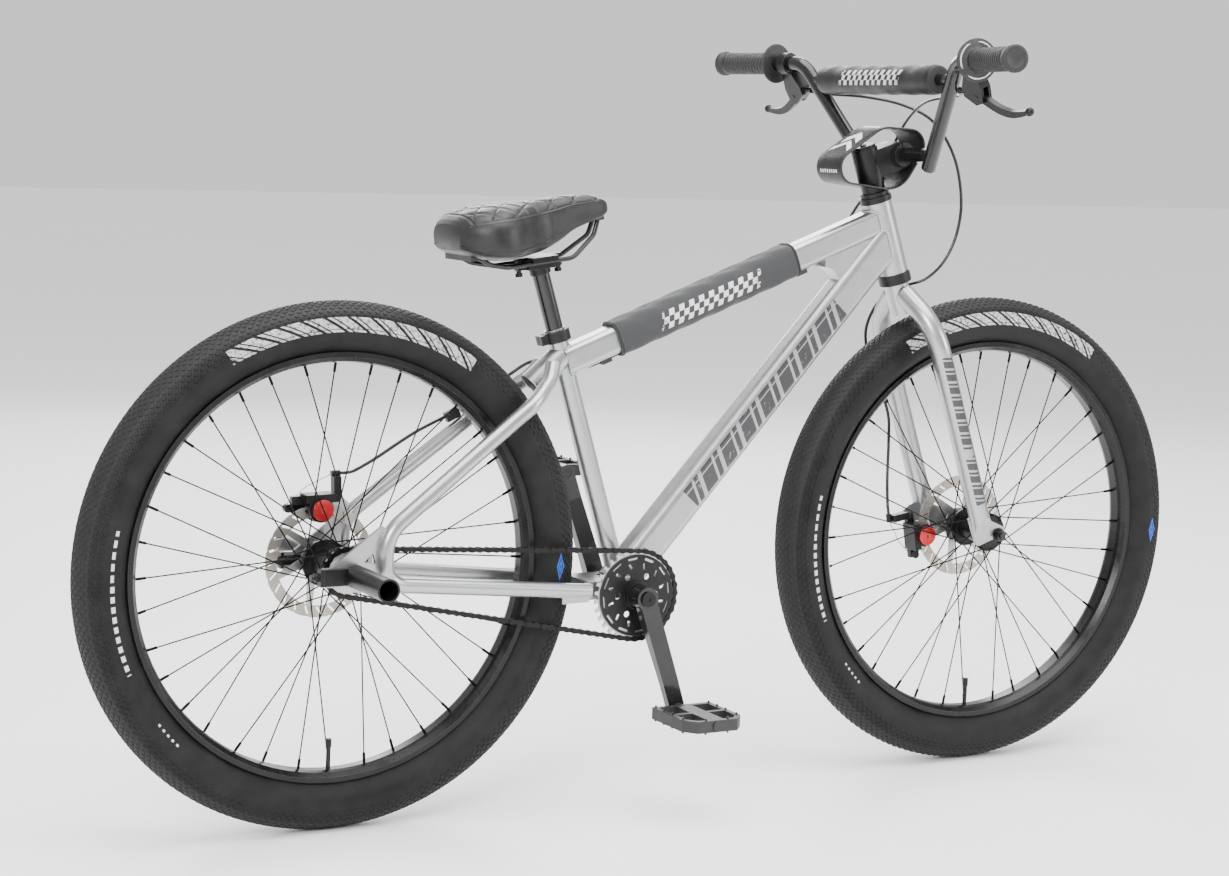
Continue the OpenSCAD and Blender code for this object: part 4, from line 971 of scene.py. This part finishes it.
def make_bar_pad():
    """Round foam pad on the crossbar in a vinyl cover, with bound ends and a closing seam at the front."""
    c = V((0.32756, 0, 1.06247))
    rows, cols = 80, 64
    half = 0.148
    verts = []
    for i in range(rows):
        t = i / (rows - 1)
        y = -half + 2 * half * t
        end = half - abs(y)
        r = 0.0222 - 0.0024 * max(0.0, 1 - end / 0.010) ** 2
        for k in range(cols):
            a = 2 * pi * k / cols
            fold = 0.0004 * sin(y * 130 + 2 * cos(a)) * min(1.0, end / 0.02)
            verts.append(c + V((cos(a) * (r + fold), y, sin(a) * (r + fold))))
    ob = piece("bar_pad", verts, grid_faces(rows, cols), "bar_pad", None)
    puff(ob, held_rows(rows, cols), 6.0, 0.0012)
    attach(ob, "steering")
    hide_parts("crossbar_pad")
    sub = ob.modifiers.new("smooth", "SUBSURF")
    sub.levels = sub.render_levels = 1
    prof = [(0.0, 0.0200), (0.0008, 0.0206), (0.0018, 0.0200), (0.0020, 0.0170), (0.0012, 0.0130),
            (0.0008, 0.0082)]
    parts = [lathe(prof, c + SIDE * (s * (half - 0.0012)), SIDE * s, 64) for s in (-1, 1)]
    v, f = merge(parts)
    piece("bar_pad_ends", v, f, "binding", "steering")


make_bar_pad()


def band_outline(inset, n):
    """Outline round three circles in the steering plane, evenly spaced, as (u, w)."""
    cs = [((-0.044, 0.624), 0.026 - inset), ((0.020, 0.618), 0.048 - inset), ((0.062, 0.624), 0.027 - inset)]
    (a, ra), (b, rb), (c, rc) = cs
    t1 = atan2(b[1] - a[1], b[0] - a[0])
    t2 = atan2(c[1] - b[1], c[0] - b[0])
    k1 = acos((ra - rb) / sqrt((b[0] - a[0]) ** 2 + (b[1] - a[1]) ** 2))
    k2 = acos((rb - rc) / sqrt((c[0] - b[0]) ** 2 + (c[1] - b[1]) ** 2))
    pts = []
    for p, r, f, t in ((c, rc, t2 - k2, t2 + k2), (b, rb, t2 + k2, t1 + k1),
                       (a, ra, t1 + k1, t1 - k1 + 2 * pi), (b, rb, t1 - k1, t2 - k2)):
        m = 60
        for i in range(m + 1):
            a_i = f + (t - f) * i / m
            pts.append((p[0] + r * cos(a_i), p[1] + r * sin(a_i)))
    lengths = [0.0]
    for i in range(len(pts)):
        x, y = pts[i], pts[(i + 1) % len(pts)]
        lengths.append(lengths[-1] + sqrt((x[0] - y[0]) ** 2 + (x[1] - y[1]) ** 2))
    out, j = [], 0
    for i in range(n):
        s = lengths[-1] * i / n
        while lengths[j + 1] < s:
            j += 1
        f = (s - lengths[j]) / max(lengths[j + 1] - lengths[j], 1e-9)
        x, y = pts[j % len(pts)], pts[(j + 1) % len(pts)]
        out.append((x[0] + (y[0] - x[0]) * f, x[1] + (y[1] - x[1]) * f))
    return out


def make_stem_pad():
    """Padded band round the stem: a thick soft strip with bound edges, open at both sides."""
    n = 150
    mid = band_outline(0.00225, n)
    half_w, half_t = 0.0325, 0.0020
    prof = []
    for i in range(28):
        t = 2 * pi * i / 28
        prof.append((half_w * power(cos(t), 0.35), half_t * power(sin(t), 0.7)))
    verts = []
    for i in range(n):
        a, b = V(mid[i - 1]), V(mid[(i + 1) % n])
        d = (b - a).normalized()
        out = V((d.y, -d.x))
        for y, h in prof:
            crown = 0.0004 * (1 - (y / half_w) ** 2) * (1 if h > 0 else 0.4)
            rib = 0.00012 * sin(i * 2 * pi / 7) * max(0.0, 1 - abs(abs(y) - 0.026) / 0.003)
            u, w = V(mid[i]) + out * (h + crown + rib)
            verts.append(steer_at(u, y, w))
    ob = piece("stem_pad_band", verts, grid_faces(n, len(prof), close_rows=True), "stem_pad", "steering",
               ("stem_pad",))
    sub = ob.modifiers.new("smooth", "SUBSURF")
    sub.levels = sub.render_levels = 1
    parts = []
    for s in (-1, 1):
        path = [steer_at(p[0], s * 0.0327, p[1]) for p in mid]
        parts.append(tube(path, 0.0012, 8, closed=True))
    v, f = merge(parts)
    piece("stem_pad_piping", v, f, "binding", "steering")


make_stem_pad()


# ---------------------------------------------------------------- saddle

SADDLE_O = seat_at(0.502)
SADDLE_NOSE_X = 0.116
SADDLE_LENGTH = 0.252
SADDLE_TAIL = 0.082
SADDLE_NOSE = 0.021
TILT = Matrix.Rotation(radians(-8), 4, "Y")


def saddle_point(x, y, z):
    return SADDLE_O + (TILT @ V((x, y, z)).to_4d()).to_3d()


def saddle_half(t):
    """Half width at a share t of the length from the nose."""
    if t < 0.06:
        return SADDLE_NOSE * sqrt(t / 0.06) * 0.75 + 0.004
    if t < 0.40:
        return SADDLE_NOSE + 0.010 * (t - 0.06) / 0.34
    if t < 0.78:
        ease = 0.5 - 0.5 * cos(pi * (t - 0.40) / 0.38)
        return SADDLE_NOSE + 0.010 + (SADDLE_TAIL - SADDLE_NOSE - 0.010) * ease
    return SADDLE_TAIL * sqrt(1 - 0.72 * ((t - 0.78) / 0.22) ** 2)


# Heights of the middle of the top and of the underside, in mm, along the length
TOP = ((0, 70), (0.04, 78), (0.12, 84), (0.27, 87), (0.44, 86), (0.6, 88), (0.75, 90), (0.88, 87),
       (0.95, 81), (1, 70))
LOW = ((0, 57), (0.04, 50), (0.16, 44), (0.26, 37), (0.35, 24), (0.47, 14), (0.58, 13), (0.72, 11),
       (0.85, 16), (0.93, 22), (1, 34))


def smooth_table(table, t):
    """Straight-line lookup in metres, averaged a little to round its corners."""
    total = 0.0
    for k in range(-3, 4):
        q = min(1.0, max(0.0, t + k * min(0.012, t / 3.001, (1 - t) / 3.001)))
        for (a, va), (b, vb) in zip(table, table[1:]):
            if a <= q <= b:
                total += va + (vb - va) * (q - a) / (b - a)
                break
    return total / 7000


def saddle_section(t, a):
    """Point on the cover at a share t of its length and an angle a round its section."""
    c, s = cos(a), sin(a)
    top, low = smooth_table(TOP, t), smooth_table(LOW, t)
    mid = low + 0.38 * (top - low)
    y = saddle_half(t) * power(c, 0.72 if s > 0 else 0.55)
    z = mid + (top - mid) * s ** 0.72 if s > 0 else mid - (mid - low) * (-s) ** 0.5
    return SADDLE_NOSE_X - SADDLE_LENGTH * t, y, z


def make_saddle():
    """Quilted cover: pillows between pressed diamond seams on top, a sewn edge, and smooth sides."""
    steps, around = 230, 200
    seam_a = radians(33)
    verts = []
    for i in range(steps + 1):
        t = i / steps
        for k in range(around):
            a = 2 * pi * k / around
            x, y, z = saddle_section(t, a)
            s = sin(a)
            lift = 0.0
            off = (a if a < pi / 2 else pi - a) - seam_a if a < pi else -1.0
            if off > 0 and 0.03 < t < 0.93:
                p, q = (x + y * 0.9) / 0.036, (x - y * 0.9) / 0.036
                line = min(abs(sin(pi * p)), abs(sin(pi * q)))
                ease = min(1.0, off / 0.10, (t - 0.03) / 0.03, (0.93 - t) / 0.03)
                lift = (0.0026 * (1 - (1 - min(1.0, line * 1.15)) ** 3.2) - 0.0022) * ease
                if line < 0.055:
                    lift -= 0.0007 * ease
            groove = max(0.0, 1 - abs(off) / 0.035) if s > 0 and 0.02 < t < 0.95 else 0.0
            end_seam = max(0.0, 1 - abs(t - 0.935) / 0.007) if off > 0 else 0.0
            lift -= 0.0016 * max(groove, end_seam)
            if s > 0:
                verts.append(saddle_point(x, y * (1 - 0.012 * groove), z + lift))
            else:
                verts.append(saddle_point(x, y, z))
    faces = grid_faces(steps + 1, around)
    faces += [tuple(range(around))[::-1], tuple(range(steps * around, (steps + 1) * around))]
    ob = piece("saddle_cover_quilted", verts, faces, "saddle", "seat", ("saddle_cover",))
    parts = []
    for side in (0, 1):
        path = []
        for i in range(81):
            t = 0.40 + 0.60 * i / 80
            a = radians(-14) if side == 0 else radians(194)
            path.append(saddle_point(*saddle_section(min(t, 0.9999), a)))
        parts.append(tube(path, 0.0011, 8))
        stitch = []
        for i in range(150):
            t = 0.05 + 0.87 * i / 149
            a = seam_a - 0.10 if side == 0 else pi - seam_a + 0.10
            x, y, z = saddle_section(t, a)
            x2, y2, z2 = saddle_section(t + 0.0032, a)
            ends = [saddle_point(x, y, z + 0.0001), saddle_point(x2, y2, z2 + 0.0001)]
            stitch.append(tube(ends, 0.00038, 5))
        parts.append(merge(stitch))
    v, f = merge(parts)
    piece("saddle_piping", v, f, "saddle_side", "seat")


make_saddle()


# ---------------------------------------------------------------- weld beads

def ray_to_cylinder(p, d, origin, axis, radius):
    """First point from p along d at a distance radius from an axis."""
    axis = axis.normalized()
    w = p - origin
    w = w - axis * w.dot(axis)
    e = d - axis * d.dot(axis)
    a, b, c = e.dot(e), 2 * w.dot(e), w.dot(w) - radius * radius
    disc = b * b - 4 * a * c
    if disc < 0:
        return None
    return p + d * ((-b - sqrt(disc)) / (2 * a))


def box_section(h, w, r, n=88):
    """Evenly spaced points round a rounded rectangle, as (up, side)."""
    pts = []
    for i in range(n):
        a = 2 * pi * i / n
        c, s = cos(a), sin(a)
        k = min((h / 2) / max(abs(c), 1e-6), (w / 2) / max(abs(s), 1e-6))
        x, y = c * k, s * k
        qx, qy = abs(x) - (h / 2 - r), abs(y) - (w / 2 - r)
        if qx > 0 and qy > 0:
            m = r / sqrt(qx * qx + qy * qy)
            x, y = power(x, 0) * (h / 2 - r + qx * m), power(y, 0) * (w / 2 - r + qy * m)
        pts.append((x, y))
    return pts


def bead(points, radius=0.0029, gap=0.0023):
    """Row of overlapping round scales along a run of points."""
    parts, carry = [], 0.0
    for a, b in zip(points, points[1:]):
        if a is None or b is None:
            continue
        length = (b - a).length
        while carry < length:
            c = a.lerp(b, carry / length)
            d = (b - a).normalized()
            prof = [(-radius * 0.8, 0.0002), (-radius * 0.55, radius * 0.75), (0, radius * 1.05),
                    (radius * 0.35, radius * 0.8), (radius * 0.5, 0.0002)]
            parts.append(lathe(prof, c, d, 10))
            carry += gap
        carry -= length
    return merge(parts)


def joint_curve(origin, way, section, axis_at, axis, radius):
    """Where a tube with this section, running from origin along way, meets a round tube."""
    up = way.cross(SIDE).normalized()
    out = [ray_to_cylinder(origin + up * a + SIDE * b, way, axis_at, axis, radius) for a, b in section]
    return out + out[:1]


HEAD_R = 0.0230
SEAT_TUBE_R = 0.0145
SHELL_R = 0.0207


def make_welds():
    """Beads where the tubes meet the head tube, the seat tube and the bottom bracket shell."""
    tt = box_section(0.040, 0.038, 0.010)
    dt = box_section(0.054, 0.044, 0.013)
    st = box_section(0.0286, 0.0286, 0.0142)
    head = (STEER_O, STEER_DIR, HEAD_R)
    runs = [
        joint_curve(TT_A + 0.3 * TT_DIR, TT_DIR, tt, *head),
        joint_curve(DT_A + 0.3 * DT_DIR, DT_DIR, dt, *head),
        joint_curve(TT_A + 0.1 * TT_DIR, -TT_DIR, tt, BB, SEAT_DIR, SEAT_TUBE_R),
        joint_curve(DT_A + 0.15 * DT_DIR, -DT_DIR, dt, BB, SIDE, SHELL_R),
        joint_curve(seat_at(0.1), -SEAT_DIR, st, BB, SIDE, SHELL_R),
    ]
    v, f = merge([bead([p for p in run if p is not None]) for run in runs])
    piece("weld_beads", v, f, "weld", "frame")


make_welds()


# ---------------------------------------------------------------- floor, light and camera

def make_stage():
    """Wide pale floor under the wheels."""
    bpy.ops.mesh.primitive_plane_add(size=60, location=(0, 0, 0))
    floor = bpy.context.object
    floor.name = "floor"
    g = Graph("pale_floor")
    floor.data.materials.append(g.done(color=g.mix(g.noise(0.7, 3), (0.90, 0.90, 0.90), (0.93, 0.93, 0.93)),
                                       rough=0.55, normal=g.bump(g.noise(60), 0.02, 0.001)))


def area_light(name, at, target, size, watts, color=(1, 1, 1)):
    data = bpy.data.lights.new(name, "AREA")
    data.shape = "RECTANGLE"
    data.size, data.size_y = size
    data.energy = watts
    data.color = color
    ob = bpy.data.objects.new(name, data)
    ob.location = at
    ob.rotation_euler = (V(target) - V(at)).to_track_quat("-Z", "Y").to_euler()
    bpy.context.scene.collection.objects.link(ob)


make_stage()
area_light("overhead", (0.2, -0.6, 4.2), (0, 0, 0.4), (4.0, 4.0), 360)
area_light("key", (-3.6, -3.4, 3.0), (0, 0, 0.5), (2.0, 2.0), 260)
area_light("fill", (3.8, -3.0, 2.0), (0, 0, 0.6), (2.0, 2.0), 110)
area_light("back", (1.5, 4.0, 2.6), (0, 0, 0.6), (3.0, 2.0), 150)

sun = bpy.data.lights.new("sun", "SUN")
sun.energy = 0.8
sun.angle = radians(70)
bpy.context.scene.collection.objects.link(bpy.data.objects.new("sun", sun))

world = bpy.data.worlds.new("studio")
bpy.context.scene.world = world
world.use_nodes = True
sky = world.node_tree.nodes["Background"]
sky.inputs["Color"].default_value = (1, 1, 1, 1)
sky.inputs["Strength"].default_value = 0.95


def make_camera():
    """View from behind on the right, a little above the axles."""
    az, el, roll = radians(-28.89), radians(6.99), radians(1.84)
    fwd = V((-sin(az) * cos(el), cos(az) * cos(el), -sin(el)))
    right = V((cos(az), sin(az), 0))
    up = right.cross(fwd)
    r2 = right * cos(roll) + up * sin(roll)
    u2 = up * cos(roll) - right * sin(roll)
    data = bpy.data.cameras.new("camera")
    data.lens = 72.76
    data.sensor_width = 36
    data.dof.use_dof = False
    cam = bpy.data.objects.new("camera", data)
    m = Matrix((r2, u2, -fwd)).transposed().to_4x4()
    m.translation = V((-1.837, -3.128, 0.970))
    cam.matrix_world = m
    bpy.context.scene.collection.objects.link(cam)
    bpy.context.scene.camera = cam


make_camera()
